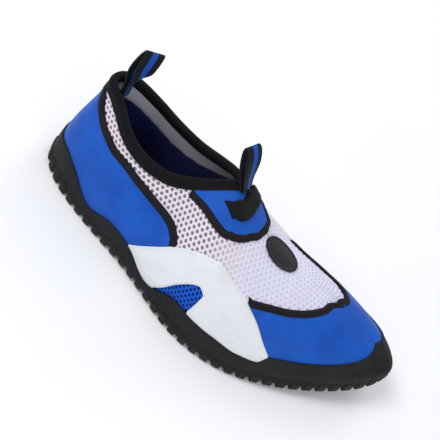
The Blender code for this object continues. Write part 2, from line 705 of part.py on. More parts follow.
def build_sides(side, word, panel_material, mesh_material):
    edge = outline(side)
    top, front = seam(WINDOW_TOP[side], side), seam(WINDOW_FRONT[side], side)
    begin, corner, foot = top[0][0], top[-1][0], front[0][0]

    def above(k):
        return share_at(edge, k)

    def lip(k):
        return lip_share(k, side, SEAM_LIFT)

    middle = (top[-1][1] - above(corner)) / (lip(corner) - above(corner))

    def between(k):
        return above(k) + (lip(k) - above(k)) * middle

    def first(k):
        return lip(k) if k <= begin else min(share_at(top, k), lip(k)) if k < corner else between(k)

    def second(k):
        return min(share_at(front, k), lip(k)) if k < corner else between(k)

    quads = strip(side, columns(side, edge[0][0], edge[-1][0]), above, first, 2)
    quads += strip(side, columns(side, foot, edge[-1][0]), second, lip, 2)
    patch_solid("side_overlay_" + word, quads, PANEL_GAP, PANEL_GAP + PANEL, panel_material)

    def inner_top(k):
        return share_at(top, k) + step_down(k, side, GAP * 1.5)

    def inner_front(k):
        return lip(k) if k < foot - 0.05 else min(lip(k), share_at(front, k + 0.05) - step_down(k, side, GAP))

    start = meeting(inner_top, lambda k: lip(k) - 0.01, corner, begin)
    end = meeting(inner_top, lambda k: inner_front(k) - 0.01, foot, corner)
    patch_solid("side_window_" + word, strip(side, columns(side, start, end), inner_top, inner_front, 3),
                PANEL_GAP, PANEL_GAP + PANEL * 0.7, mesh_material)


def build_toe(panel_material, trim_material):
    fore, back = over_ridge(TOE_TRIM, -TRIM_WIDTH / 2), over_ridge(TOE_TRIM, TRIM_WIDTH / 2)
    cap = over_ridge(TOE_TRIM, -(TRIM_WIDTH / 2 + GAP * 1.3))
    quads, trims = [], []
    turns = (back[1][-1][0], fore[1][-1][0], cap[1][-1][0])
    for side in (-1, 1):
        edge = outline(side)

        def bound(k):
            return share_at(edge, k) - step_down(k, side, GAP * 2) if k < edge[-1][0] + 0.02 else 9.0

        def trim_low(k):
            return min(share_at(fore[side], k), bound(k))

        def panel_top(k):
            return share_at(cap[side], k)

        def panel_low(k):
            return min(lip_share(k, side, SEAM_LIFT), bound(k))

        ks = columns(side, TOE_TRIM_START, turns[1], turns[:1])
        trims += strip(side, ks, lambda k: share_at(back[side], k), trim_low, 1)
        start = meeting(lambda k: -panel_low(k), lambda k: -panel_top(k) - 0.015, 12.0, TOE_TRIM_START)
        quads += strip(side, columns(side, start, float(TOE), turns), panel_top, panel_low, 4)
    patch_solid("toe_cap", quads, PANEL_GAP + 0.0003, PANEL_GAP + PANEL + 0.0002, panel_material)
    patch_solid("toe_trim", trims, PANEL_GAP, PANEL_GAP + TRIM, trim_material)


def collar_clear(side):
    """Line along the lower edge of the collar binding, as (station, share)."""
    line = []
    for k in [6.4 + 0.2 * i for i in range(13)]:
        run = place(k + 0.01, side * 1e-3) - place(k - 0.01, side * 1e-3)
        down = normal_at(k, side * 1e-3).cross(run).normalized() * side
        line.append(nudge(k, side * 1e-3, down * (BINDING_WIDTH + GAP * 5)))
    return line


def build_tongue(panel_material, trim_material):
    outer, inner = over_ridge(TONGUE_TRIM, -TRIM_WIDTH / 2), over_ridge(TONGUE_TRIM, TRIM_WIDTH / 2)
    panel = over_ridge(TONGUE_TRIM, TRIM_WIDTH / 2 + GAP * 1.3)
    turns = (panel[1][-1][0], inner[1][-1][0])
    quads, trims = [], []
    for side in (-1, 1):
        rear = sorted((k, abs(w)) for k, w in collar_clear(side) if w * side > 0 and k < TONGUE_REAR - 0.03)
        rear += [(TONGUE_REAR, 0.0)]
        low, high = outer[side], inner[side]

        def free(k):
            return share_at(rear, k)

        def trim_top(k):
            return max(free(k), share_at(high, k) if k > high[0][0] else 0.0)

        start = meeting(lambda k: -share_at(low, k), lambda k: -free(k) - 0.012, 8.0, low[0][0])
        ks = columns(side, start, low[-1][0], turns)
        trims += strip(side, ks, trim_top, lambda k: share_at(low, k), 1)
        start = meeting(lambda k: -share_at(panel[side], k), lambda k: -free(k) - 0.012, 8.5, panel[side][0][0])
        quads += strip(side, columns(side, start, turns[0]), free, lambda k: share_at(panel[side], k), 3)
    patch_solid("tongue_panel", quads, PANEL_GAP, PANEL_GAP + PANEL, panel_material)
    patch_solid("tongue_trim", trims, PANEL_GAP, PANEL_GAP + TRIM, trim_material)


def disc(name, centre, half_long, half_wide, power, low, high, material, spokes=24, rings=3):
    """Oval plate lying on the upper, rounded by a power (2 = ellipse), its rim a little lower."""
    quads = []
    along = (place(centre[0] + 0.1, centre[1]) - place(centre[0] - 0.1, centre[1])).normalized()
    across = normal_at(*centre).cross(along)

    def spot(ring, n):
        if ring == 0:
            return centre
        angle = 2 * pi * n / spokes
        c, s = cos(angle), sin(angle)
        size = (abs(c) ** power + abs(s) ** power) ** (-1.0 / power) * ring / rings
        return nudge(centre[0], centre[1], along * (half_long * c * size) + across * (half_wide * s * size))

    for ring in range(rings):
        for n in range(spokes):
            m = (n + 1) % spokes
            quads.append([spot(ring, n), spot(ring + 1, n), spot(ring + 1, m), spot(ring, m)])
    return patch_solid(name, quads, low, high, material)


def strap(name, path, width, thick, pivot, twist, reach, material):
    """Band of webbing along a path of (x, z) places; above the pivot's height it turns and leans forward."""
    bm = bmesh.new()
    rings = []
    high = max(z for _, z in path)
    for i, (x, z) in enumerate(path):
        a, b = path[max(i - 1, 0)], path[min(i + 1, len(path) - 1)]
        run = Vector((b[0] - a[0], 0, b[1] - a[1])).normalized()
        rise = max(0.0, (z - pivot.z) / (high - pivot.z))
        turn = twist * ease(rise / 0.75)
        fore = Vector((cos(turn), -sin(turn), 0))
        wide = Vector((sin(turn), cos(turn), 0)) * (width / 2)
        side = (fore * run.z + Vector((0, 0, -run.x))) * (thick / 2)
        centre = Vector((pivot.x + reach * rise, pivot.y, z)) + fore * (x - pivot.x)
        rings.append([bm.verts.new(shift(p)) for p in
                      (centre + side - wide, centre + side + wide, centre - side + wide, centre - side - wide)])
    for one, two in zip(rings, rings[1:]):
        for j in range(4):
            bm.faces.new((one[j], one[(j + 1) % 4], two[(j + 1) % 4], two[j]))
    bm.faces.new(rings[0])
    bm.faces.new(list(reversed(rings[-1])))
    return make_object(name, bm, material)


# Outline of a pull loop, from its foot round and back: share of its length, share of its width.
LOOP_SHAPE = ((0.00, -0.16), (0.20, -0.24), (0.48, -0.42), (0.74, -0.50), (0.93, -0.34), (1.00, 0.00),
              (0.93, 0.34), (0.74, 0.50), (0.48, 0.42), (0.20, 0.24), (0.00, 0.16))


def loop_path(foot, lean, length, spread, parts=20):
    """Places of a pull loop in the shoe's middle plane; lean is the share by which it tips back."""
    axis = Vector((-lean, 0, (1 - lean * lean) ** 0.5))
    across = Vector((axis.z, 0, -axis.x))
    places = []
    for a, b in through(LOOP_SHAPE, parts):
        point = foot + axis * (a * length) + across * (b * spread)
        places.append((point.x, point.z))
    return places


def build_loops(material):
    over = GAP * 1.8 + BINDING + GAP
    rear, front = through(PATCH_REAR, 18), through(PATCH_FRONT, 18)
    patch_solid("tongue_patch", loft(rear, front, 2), over, over + PATCH, material)
    foot = place(*LOOP_FOOT) + normal_at(*LOOP_FOOT) * (over + 0.0017)
    strap("tongue_loop", loop_path(foot, 0.46, FRONT_LOOP, 0.0055), WEB_WIDTH, WEB_THICK, foot, FRONT_TWIST, 0.0,
          material)
    edge, normal = place(0.0, -1e-9), normal_at(0.0, -1e-9)
    inside = edge - normal * (UPPER_WALL + BINDING + 2 * GAP + WEB_THICK / 2 + HEEL_CLEAR)
    tall = HEEL_LOOP
    near, far = inside.x, inside.x + WEB_THICK + GAP
    shape = ((near, edge.z - 0.010), (near, edge.z - 0.002), (near - 0.0004, edge.z + 0.006),
             (near - 0.0026, edge.z + tall * 0.45), (near - 0.0022, edge.z + tall * 0.80),
             ((near + far) / 2, edge.z + tall), (far + 0.0022, edge.z + tall * 0.80),
             (far + 0.0026, edge.z + tall * 0.45), (far + 0.0004, edge.z + 0.006), (far, edge.z - 0.002),
             (far, edge.z - 0.010))
    pivot = Vector(((near + far) / 2, edge.y, edge.z + 0.004))
    strap("heel_loop", through(shape, 26), WEB_WIDTH, WEB_THICK, pivot, HEEL_TWIST, HEEL_REACH, material)


def build_binding(material):
    """Channel of tape over the edge of the collar."""
    points, faces, index = [], [], {}
    for side in (-1, 1):
        ks = [i * 0.25 for i in range(0, 61)]
        for a, b in zip(ks, ks[1:]):
            for j in range(24):
                ring = []
                for k, t in ((a, j / 24), (b, j / 24), (b, (j + 1) / 24), (a, (j + 1) / 24)):
                    key = (k, t, side)
                    if key not in index:
                        index[key] = len(points)
                        points.append(wall_point(k, side, t))
                    ring.append(index[key])
                faces.append(ring if side < 0 else list(reversed(ring)))
    tree = BVHTree.FromPolygons(points, faces)
    ring = [(k, -1) for k in STATIONS if k <= THROAT] + [(k, 1) for k in reversed(STATIONS) if 0 < k < THROAT]
    edges = [place(k, side * 1e-9) for k, side in ring]
    count = len(ring)
    bm = bmesh.new()
    rings = []
    for i, (k, side) in enumerate(ring):
        normal = normal_at(k, side * 1e-9)
        run = (edges[(i + 1) % count] - edges[i - 1]).normalized()
        up = normal.cross(run).normalized()
        edge = edges[i]

        def under(distance):
            spot, face_normal, _, _ = tree.find_nearest(edge - up * distance)
            if face_normal.dot(normal) < 0:
                face_normal = -face_normal
            return spot, face_normal

        low, low_normal = under(BINDING_WIDTH)
        half, half_normal = under(BINDING_WIDTH * 0.5)
        inner, inner_normal = under(BINDING_WIDTH * 0.8)
        loose = GAP * 1.8
        deep = UPPER_WALL + loose
        places = [low + low_normal * loose, low + low_normal * (loose + BINDING * 0.7),
                  half + half_normal * (loose + BINDING), edge + normal * (loose + BINDING) + up * GAP,
                  edge - normal * (UPPER_WALL * 0.5) + up * (GAP + BINDING * 1.3),
                  edge - normal * (deep + BINDING) + up * GAP,
                  inner - inner_normal * (deep + BINDING * 0.8), inner - inner_normal * deep,
                  edge - normal * deep + up * GAP, edge + normal * loose + up * GAP]
        rings.append([bm.verts.new(shift(p)) for p in places])
    for i in range(count):
        one, two = rings[i], rings[(i + 1) % count]
        for j in range(len(one)):
            n = (j + 1) % len(one)
            bm.faces.new((one[j], two[j], two[n], one[n]))
    return make_object("collar_binding", bm, material)


def clear_scene():
    for obj in list(bpy.data.objects):
        bpy.data.objects.remove(obj, do_unlink=True)


clear_scene()
SHOE = bpy.data.collections.new("water_shoe")
TOOLS = bpy.data.collections.new("cutters")
bpy.context.scene.collection.children.link(SHOE)
bpy.context.scene.collection.children.link(TOOLS)
RUBBER = new_material("rubber", (0.012, 0.013, 0.015, 1), 0.62)
CLOTH = new_material("mesh_cloth", (0.72, 0.70, 0.76, 1), 0.85)
BLUE = new_material("blue_stretch_fabric", (0.004, 0.07, 0.46, 1), 0.55)
BLUE_MESH = new_material("blue_mesh", (0.006, 0.06, 0.36, 1), 0.75)
WHITE = new_material("white_synthetic", (0.76, 0.77, 0.79, 1), 0.5)
BLACK = new_material("black_tape", (0.010, 0.009, 0.012, 1), 0.8)
NAVY = new_material("navy_foam", (0.006, 0.004, 0.05, 1), 0.9)
BADGE = new_material("badge_rubber", (0.015, 0.015, 0.02, 1), 0.5)

build_sole(RUBBER)
build_insole(NAVY)
build_upper(CLOTH)
build_binding(BLACK)
build_heel(BLUE, BLACK)
build_sides(-1, "lateral", WHITE, BLUE_MESH)
build_sides(1, "medial", WHITE, BLUE_MESH)
build_toe(BLUE, BLACK)
build_tongue(BLUE, BLACK)
build_loops(BLACK)
disc("badge", (11.75, -0.024), BADGE_LENGTH / 2, BADGE_WIDTH / 2, 2.0, GAP, GAP + BADGE_THICK, BADGE, 26, 2)
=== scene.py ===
"""Looks of a slip-on water shoe for the right foot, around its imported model.  Metres, +X toe, +Z up."""
import math
import bpy
import bmesh
import numpy as np
from mathutils import Matrix, Vector
from mathutils.bvhtree import BVHTree
from mathutils.kdtree import KDTree


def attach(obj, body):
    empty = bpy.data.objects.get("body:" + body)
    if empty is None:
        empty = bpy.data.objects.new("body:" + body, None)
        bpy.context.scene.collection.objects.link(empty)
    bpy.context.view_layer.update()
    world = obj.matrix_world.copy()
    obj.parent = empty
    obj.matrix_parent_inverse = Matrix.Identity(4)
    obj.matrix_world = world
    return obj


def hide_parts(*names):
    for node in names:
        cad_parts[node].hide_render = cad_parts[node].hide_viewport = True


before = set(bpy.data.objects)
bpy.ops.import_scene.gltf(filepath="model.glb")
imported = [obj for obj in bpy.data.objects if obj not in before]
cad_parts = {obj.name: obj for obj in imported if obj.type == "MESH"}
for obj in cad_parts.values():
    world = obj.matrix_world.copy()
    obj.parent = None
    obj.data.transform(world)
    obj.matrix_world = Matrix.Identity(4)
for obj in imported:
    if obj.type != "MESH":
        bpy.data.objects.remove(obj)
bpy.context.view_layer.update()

MM = 0.001
# Driving sizes of the shoe, as in its solids.
LENGTH = 0.290
BALL_WIDTH = 0.110
HEEL_HEIGHT = 0.092
INSTEP_HEIGHT = 0.093
TOE_SPRING = 0.018
HEEL_BEVEL = 0.003
ARCH_RISE = 0.0012
SOLE_FLOOR = 0.0085
LUG_DEPTH = 0.0026
SIDE_HEIGHT = 0.030
BUMPER_STEP = 0.0055
SOLE_WALL = 0.0024
UPPER_WALL = 0.0020
GAP = 0.0003
PANEL = 0.0009
PANEL_GAP = 0.0006
TRIM = 0.0015
TRIM_WIDTH = 0.0060
BINDING = 0.0012
BINDING_WIDTH = 0.0066
INSOLE = 0.0030
WEB_WIDTH = 0.0125
WEB_THICK = 0.0014
FRONT_TWIST, FRONT_LOOP = 0.35, 0.031
HEEL_TWIST, HEEL_LOOP, HEEL_REACH, HEEL_CLEAR = 0.95, 0.038, 0.0055, 0.0054
PATCH = 0.0024
BADGE_LENGTH, BADGE_WIDTH, BADGE_THICK = 0.030, 0.0185, 0.0018
LUG_PITCH, LUG_LENGTH = 0.0098, 0.0060
BLOCK_PITCH, BLOCK_SIZE, EDGE_CLEAR = 0.0175, 0.0112, 0.0088
HEEL_SPOT = 0.135
TOE, THROAT = 16, 9

# Edge of the tread: lateral x, y, medial x, y, as shares of LENGTH and BALL_WIDTH.
EDGE = (
    (0.007, -0.008, 0.007, -0.008), (0.022, -0.136, 0.021, 0.118), (0.062, -0.224, 0.059, 0.210),
    (0.117, -0.288, 0.114, 0.275), (0.180, -0.334, 0.176, 0.308), (0.252, -0.374, 0.248, 0.310),
    (0.328, -0.418, 0.324, 0.298), (0.403, -0.476, 0.400, 0.295), (0.480, -0.540, 0.480, 0.315),
    (0.556, -0.572, 0.562, 0.362), (0.631, -0.560, 0.645, 0.415), (0.707, -0.505, 0.728, 0.438),
    (0.783, -0.412, 0.805, 0.440), (0.855, -0.298, 0.878, 0.405), (0.921, -0.170, 0.944, 0.352),
    (0.976, -0.032, 0.990, 0.262), (1.009, 0.122, 1.009, 0.122),
)
# Height of the rubber side wall: lateral, medial, as shares of SIDE_HEIGHT.
SIDE = (
    (0.86, 0.86), (0.93, 0.93), (1.00, 0.97), (0.82, 0.84), (0.45, 0.62), (0.68, 0.66), (0.60, 0.58),
    (0.30, 0.52), (0.80, 0.52), (0.85, 0.64), (0.80, 0.82), (0.73, 0.84), (0.75, 0.83), (0.73, 0.76),
    (0.69, 0.65), (0.64, 0.60), (0.59, 0.59),
)
BUMPER_AT, BUMPER_RUN = (11.45, 13.15), 0.30
# Edge of the collar, heel to throat, and its sideways middle; then the ridge of the vamp.
COLLAR = (
    (0.058, 0.000, 0.995), (0.067, 0.066, 1.000), (0.090, 0.104, 0.988), (0.124, 0.146, 0.938),
    (0.172, 0.194, 0.857), (0.231, 0.209, 0.802), (0.297, 0.190, 0.808), (0.355, 0.134, 0.891),
    (0.400, 0.068, 0.973), (0.428, 0.000, 1.005),
)
COLLAR_MIDDLE = 0.020
RIDGE = (
    (0.428, 0.020, 0.994), (0.490, 0.014, 0.860), (0.552, 0.014, 0.757), (0.617, 0.022, 0.692),
    (0.683, 0.045, 0.650), (0.748, 0.075, 0.607), (0.810, 0.105, 0.558), (0.862, 0.125, 0.510),
    (0.905, 0.136, 0.466),
)
# Wall of the upper: bulge, rise, crown, drop, share kept on the medial side.
SHAPE = (
    (0.030, 0.40, 0.08, 0.35, 1.00), (0.030, 0.40, 0.08, 0.35, 1.00), (0.028, 0.40, 0.10, 0.35, 1.00),
    (0.025, 0.40, 0.12, 0.32, 1.00), (0.022, 0.40, 0.15, 0.30, 1.00), (0.022, 0.40, 0.20, 0.28, 1.00),
    (0.028, 0.42, 0.25, 0.25, 1.00), (0.036, 0.45, 0.30, 0.20, 0.92), (0.044, 0.48, 0.38, 0.10, 0.76),
    (0.050, 0.50, 0.46, 0.01, 0.60), (0.050, 0.50, 0.50, 0.00, 0.62), (0.048, 0.50, 0.52, 0.00, 0.80),
    (0.045, 0.50, 0.54, 0.00, 0.94), (0.042, 0.50, 0.55, 0.00, 1.00), (0.038, 0.52, 0.55, 0.00, 1.00),
    (0.034, 0.55, 0.55, 0.00, 1.00), (0.032, 0.60, 0.55, 0.00, 1.00),
)
# Seams on the chart of the upper: station, share down from the collar or ridge.  LIP is the rubber's top.
LIP = 9.0
HEEL_TRIM_LINE = (
    (0.00, 0.121), (0.55, 0.122), (1.00, 0.136), (1.50, 0.196), (2.20, 0.255), (2.85, 0.290),
    (3.70, 0.288), (4.60, 0.256), (5.30, 0.290), (6.00, 0.352), (6.65, 0.430), (7.06, 0.520),
)
TOE_TRIM = {
    -1: ((10.58, 0.478), (11.21, 0.432), (11.90, 0.388), (12.65, 0.326), (13.50, 0.217), (14.06, 0.108),
         (14.80, 0.000)),
    1: ((10.60, 0.468), (11.30, 0.456), (12.05, 0.438), (12.85, 0.396), (13.45, 0.308), (14.02, 0.190),
        (14.28, 0.100), (14.80, 0.000)),
}
TONGUE_TRIM = {
    -1: ((7.02, 0.158), (7.65, 0.240), (8.28, 0.306), (8.90, 0.322), (9.52, 0.246), (10.08, 0.148),
         (10.36, 0.105), (10.55, 0.052), (10.80, 0.000)),
    1: ((7.05, 0.165), (7.70, 0.250), (8.40, 0.318), (9.12, 0.315), (9.60, 0.250), (9.93, 0.204),
        (10.27, 0.148), (10.50, 0.078), (10.80, 0.000)),
}
PATCH_REAR = (
    (8.22, -0.150), (8.75, -0.130), (9.16, -0.090), (9.28, 0.000),
    (9.18, 0.085), (8.98, 0.142), (8.68, 0.205),
)
PATCH_FRONT = (
    (8.86, -0.238), (9.30, -0.190), (9.70, -0.110), (10.00, 0.000),
    (9.78, 0.095), (9.48, 0.185), (9.12, 0.262),
)
LOOP_FOOT = (9.06, -0.038)
OVERLAY_REAR = ((5.88, LIP), (6.50, 0.713), (7.15, 0.590))
OVERLAY_TOP = {
    -1: ((7.15, 0.590), (7.53, 0.549), (7.87, 0.522), (8.43, 0.490), (9.45, 0.462), (10.38, 0.482)),
    1: ((7.15, 0.590), (7.53, 0.549), (7.95, 0.513), (8.60, 0.484), (9.45, 0.462), (10.38, 0.472)),
}
OVERLAY_FRONT = {
    -1: ((10.38, 0.482), (10.90, 0.556), (11.30, 0.672), (11.58, LIP)),
    1: ((10.38, 0.472), (10.95, 0.530), (11.48, 0.635), (11.78, LIP)),
}
WINDOW_TOP = {
    -1: ((7.33, LIP), (7.55, 0.885), (7.83, 0.790), (8.12, 0.725),
         (8.40, 0.682), (8.64, 0.664), (8.86, 0.690)),
    1: ((7.10, LIP), (7.40, 0.845), (7.72, 0.760), (8.05, 0.700),
        (8.35, 0.672), (8.60, 0.668), (8.80, 0.700)),
}
WINDOW_FRONT = {-1: ((8.62, LIP), (8.86, 0.690)), 1: ((8.60, LIP), (8.80, 0.700))}
RIDGE_SKEW, SEAM_LIFT = 1.12, 0.0006
HEEL_END, TOE_TRIM_START, TONGUE_REAR = 7.04, 10.44, 9.44
BADGE_AT = (11.75, -0.024)
LOOP_SHAPE = ((0.00, -0.16), (0.20, -0.24), (0.48, -0.42), (0.74, -0.50), (0.93, -0.34), (1.00, 0.00),
              (0.93, 0.34), (0.74, 0.50), (0.48, 0.42), (0.20, 0.24), (0.00, 0.16))
# Soft creases and dents, listed: station and share at both ends, half width and depth in mm.
CREASES = (
    (11.10, -0.42, 11.60, -0.02, 7.0, -0.5),
    (11.00, 0.45, 11.50, 0.06, 7.0, -0.5),
    (10.20, -0.66, 9.50, -0.88, 5.0, -0.6),
    (9.60, -0.56, 9.10, -0.74, 6.0, 0.45),
    (10.55, -0.80, 10.30, -0.96, 4.0, 0.4),
    (8.10, -0.58, 6.90, -0.72, 6.0, -0.4),
    (12.60, -0.62, 13.80, -0.42, 9.0, 0.4),
    (12.20, 0.66, 13.60, 0.50, 9.0, 0.4),
    (4.60, -0.48, 6.00, -0.62, 8.0, -0.7),
    (2.20, -0.50, 3.30, -0.66, 9.0, 0.5),
    (5.00, 0.50, 6.20, 0.62, 8.0, -0.6),
    (9.50, 0.60, 10.10, 0.86, 6.0, -0.5),
    (10.20, -0.24, 9.30, -0.40, 6.0, -0.5),
    (7.60, -0.36, 6.60, -0.18, 8.0, -0.6),
)


def blend(rows, position, closed=False):
    """Smooth curve through the rows of a table at positions counted in rows."""
    rows = np.asarray(rows, float)
    count = len(rows)
    position = np.asarray(position, float)
    if closed:
        start = np.floor(position).astype(int)
        pick = [rows[(start + i) % count] for i in (-1, 0, 1, 2)]
    else:
        position = np.clip(position, 0, count - 1)
        start = np.minimum(position.astype(int), count - 2)
        pick = [rows[np.clip(start + i, 0, count - 1)] for i in (-1, 0, 1, 2)]
        pick[0] = np.where((start == 0)[..., None], 2 * rows[0] - rows[1], pick[0])
        pick[3] = np.where((start == count - 2)[..., None], 2 * rows[-1] - rows[-2], pick[3])
    f = (position - start)[..., None]
    return 0.5 * ((-f + 2 * f * f - f ** 3) * pick[0] + (2 - 5 * f * f + 3 * f ** 3) * pick[1]
                  + (f + 4 * f * f - 3 * f ** 3) * pick[2] + (f ** 3 - f * f) * pick[3])


EDGE_RING = [(row[0], row[1]) for row in EDGE] + [(row[2], row[3]) for row in EDGE[TOE - 1:0:-1]]
COLLAR_RING = [(x, -y, z) for x, y, z in COLLAR] + [(x, y, z) for x, y, z in COLLAR[THROAT - 1:0:-1]]


def ease(value):
    value = np.clip(value, 0.0, 1.0)
    return value * value * (3 - 2 * value)


def unit(vectors):
    return vectors / np.maximum(np.linalg.norm(vectors, axis=-1, keepdims=True), 1e-12)


def xyz(x, y, z):
    return np.stack(np.broadcast_arrays(x, y, z), axis=-1).astype(float)


def tread_height(x):
    """Height of the tread above the floor, x from the back of the heel."""
    share = x / LENGTH
    toe = TOE_SPRING * np.maximum(0.0, (share - 0.67) / 0.33) ** 2
    heel = HEEL_BEVEL * np.maximum(0.0, (0.07 - share) / 0.07) ** 2
    return toe + heel + ARCH_RISE * ease((share - 0.24) / 0.10) * ease((0.52 - share) / 0.10)


def edge_point(k, side, out=0.0):
    """Edge of the tread moved outward, and the outward direction."""
    ring = np.where(side < 0, k, 2 * TOE - k)
    scale = np.array((LENGTH, BALL_WIDTH))
    at = blend(EDGE_RING, ring, True) * scale
    along = unit((blend(EDGE_RING, ring + 0.05, True) - blend(EDGE_RING, ring - 0.05, True)) * scale)
    outward = xyz(along[..., 1], -along[..., 0], 0.0)
    return xyz(at[..., 0], at[..., 1], 0.0) + outward * out, outward


def top_point(k, side):
    """Edge of the collar behind the throat, ridge of the vamp in front of it."""
    rim = blend(COLLAR_RING, np.where(side < 0, k, 2 * THROAT - k), True)
    middle = COLLAR_MIDDLE * ease(rim[..., 0] / COLLAR[3][0])
    rim = xyz(rim[..., 0] * LENGTH, (rim[..., 1] + middle) * BALL_WIDTH, rim[..., 2] * HEEL_HEIGHT)
    ridge = blend(RIDGE, k - THROAT) * np.array((LENGTH, BALL_WIDTH, INSTEP_HEIGHT))
    return np.where((k <= THROAT)[..., None], rim, ridge)


def wall_point(k, side, t):
    """Outer face of the upper: t = 0 at its lower edge, 1 at the collar or the ridge."""
    low, out = edge_point(k, side, -(SOLE_WALL + GAP + 0.0018))
    low[..., 2] = tread_height(low[..., 0]) + SOLE_FLOOR + GAP
    top = top_point(k, side)
    shape = blend(SHAPE, k)
    keep = np.where(side > 0, shape[..., 4], 1.0)
    bulge, crown = shape[..., 0] * keep, shape[..., 2] * keep
    height = top[..., 2] - low[..., 2]
    at = np.clip(k, THROAT + 0.02, TOE - 0.02)
    run = top_point(at + 0.02, np.ones_like(side)) - top_point(at - 0.02, np.ones_like(side))
    across = low - top
    across[..., 2] = across[..., 0] * (run[..., 2] / run[..., 0]) * ease((k - 7.0) / 2.0)
    first = low + out * (bulge * BALL_WIDTH)[..., None]
    first[..., 2] += shape[..., 1] * height
    second = top + across * crown[..., None]
    second[..., 2] -= shape[..., 3] * height
    t, s = t[..., None], 1 - t[..., None]
    return low * s ** 3 + first * (3 * s * s * t) + second * (3 * s * t * t) + top * t ** 3


def chart(k, w):
    """Point of the outer face: w is -1 at the lateral edge, 0 on top, 1 at the medial edge."""
    over_heel, over_toe = k < 0, k > TOE
    w = np.where(over_heel | over_toe, -w, w)
    k = np.where(over_heel, -k, np.where(over_toe, 2 * TOE - k, k))
    return wall_point(k, np.where(w < 0, -1.0, 1.0), 1 - np.abs(w))


def normals(k, w):
    h = 0.012
    up, down = np.minimum(w + h, 1.0), np.maximum(w - h, -1.0)
    split = k < THROAT - 0.05
    down = np.where(split & (w >= 0), np.maximum(down, 1e-9), down)
    up = np.where(split & (w < 0), np.minimum(up, -1e-9), up)
    along = chart(k + 0.03, w) - chart(k - 0.03, w)
    return unit(np.cross(along, chart(k, up) - chart(k, down)))


def folds(k, w):
    """Listed soft creases, as a height over the surface."""
    height = np.zeros(np.broadcast(k, w).shape)
    for ka, wa, kb, wb, half, depth in CREASES:
        ax, ay, bx, by = ka * 16, wa * 75, kb * 16, wb * 75
        px, py = k * 16 - ax, w * 75 - ay
        dx, dy = bx - ax, by - ay
        along = np.clip((px * dx + py * dy) / (dx * dx + dy * dy), 0, 1)
        away = (px - along * dx) ** 2 + (py - along * dy) ** 2
        height += depth * MM * np.exp(-away / (half * half)) * ease(4 * (0.27 - np.abs(along - 0.5)) + 0.8)
    return height * ease((np.abs(w) + 0.02) * 20)


def place(k, w, off=0.0):
    """Points at a distance off the outer face, in the shoe's frame."""
    k, w = np.broadcast_arrays(np.asarray(k, float), np.asarray(w, float))
    out = normals(k, w)
    near = (ease(1 - np.abs(w) / 0.14) * (k > THROAT + 0.3))[..., None]
    out = unit(out + normals(k, -w) * near)
    point = chart(k, w) + out * (folds(k, w) + off)[..., None]
    point[..., 0] -= HEEL_SPOT * LENGTH
    return point


def side_height(k, side):
    rows = blend(SIDE, k)
    lateral = side < 0
    share = np.where(lateral, rows[..., 0], rows[..., 1])
    step = ease((k - np.where(lateral, BUMPER_AT[0], BUMPER_AT[1])) / BUMPER_RUN + 0.5)
    return share * SIDE_HEIGHT + BUMPER_STEP * step


def share_at_height(k, side, z):
    """Chart share (1 = lower edge) where the wall has a height."""
    a, b = np.zeros_like(z), np.ones_like(z)
    for _ in range(24):
        m = (a + b) / 2
        low = wall_point(k, side, m)[..., 2] < z
        a, b = np.where(low, m, a), np.where(low, b, m)
    return 1 - a


LIP_STATIONS = np.linspace(0, TOE, 961)
LIP_SHARE = {}
for lip_side in (-1, 1):
    ones = np.full_like(LIP_STATIONS, lip_side)
    rise = tread_height(edge_point(LIP_STATIONS, ones)[0][:, 0]) + side_height(LIP_STATIONS, ones)
    LIP_SHARE[lip_side] = share_at_height(LIP_STATIONS, ones, rise)


def speed(k, side):
    """Length of the wall per unit of share."""
    return np.linalg.norm(chart(k, side * 0.5) - chart(k, side * 0.48), axis=-1) / 0.02


def lip_share(k, side, lift=0.0):
    k = np.asarray(k, float)
    return np.interp(k, LIP_STATIONS, LIP_SHARE[side]) - lift / speed(k, np.full_like(k, side))


def step_down(k, side, distance):
    k = np.asarray(k, float)
    return distance / speed(k, np.full_like(k, side))


# Seams.


def beside(k, w, distance):
    """Chart line moved sideways over the surface; positive is to the left of its run, seen from outside."""
    points = chart(k, w)
    run = np.gradient(points, axis=0)
    goal = points + unit(np.cross(normals(k, w), run)) * distance
    side = np.where(w < 0, -1.0, 1.0)
    for _ in range(5):
        dk = (chart(k + 0.02, w) - chart(k - 0.02, w)) / 0.04
        high, low = np.minimum(np.abs(w) + 0.004, 1.0), np.maximum(np.abs(w) - 0.004, 1e-9)
        dw = (chart(k, side * high) - chart(k, side * low)) / (high - low)[:, None] * side[:, None]
        rest = goal - chart(k, w)
        aa, ab, bb = (dk * dk).sum(1), (dk * dw).sum(1), (dw * dw).sum(1)
        ma, mb = (dk * rest).sum(1), (dw * rest).sum(1)
        det = aa * bb - ab * ab
        k, w = k + (ma * bb - mb * ab) / det, w + (mb * aa - ma * ab) / det
    return k, w


def table_line(rows, side, parts):
    """A table as chart places on one side; the mark for the rubber's top becomes its share."""
    fixed = [(k, float(lip_share(k, side, SEAM_LIFT)) if w >= LIP else w) for k, w in rows]
    line = blend(fixed, np.linspace(0, len(rows) - 1, parts + 1))
    return line[:, 0], side * line[:, 1]


def seam(rows, side, move=0.0):
    """A seam on one side as sorted stations and shares, moved down the wall by a distance."""
    k, w = table_line(rows, side, 60)
    if move:
        k, w = beside(k, w, side * move)
    order = np.argsort(k)
    return k[order], np.abs(w)[order]


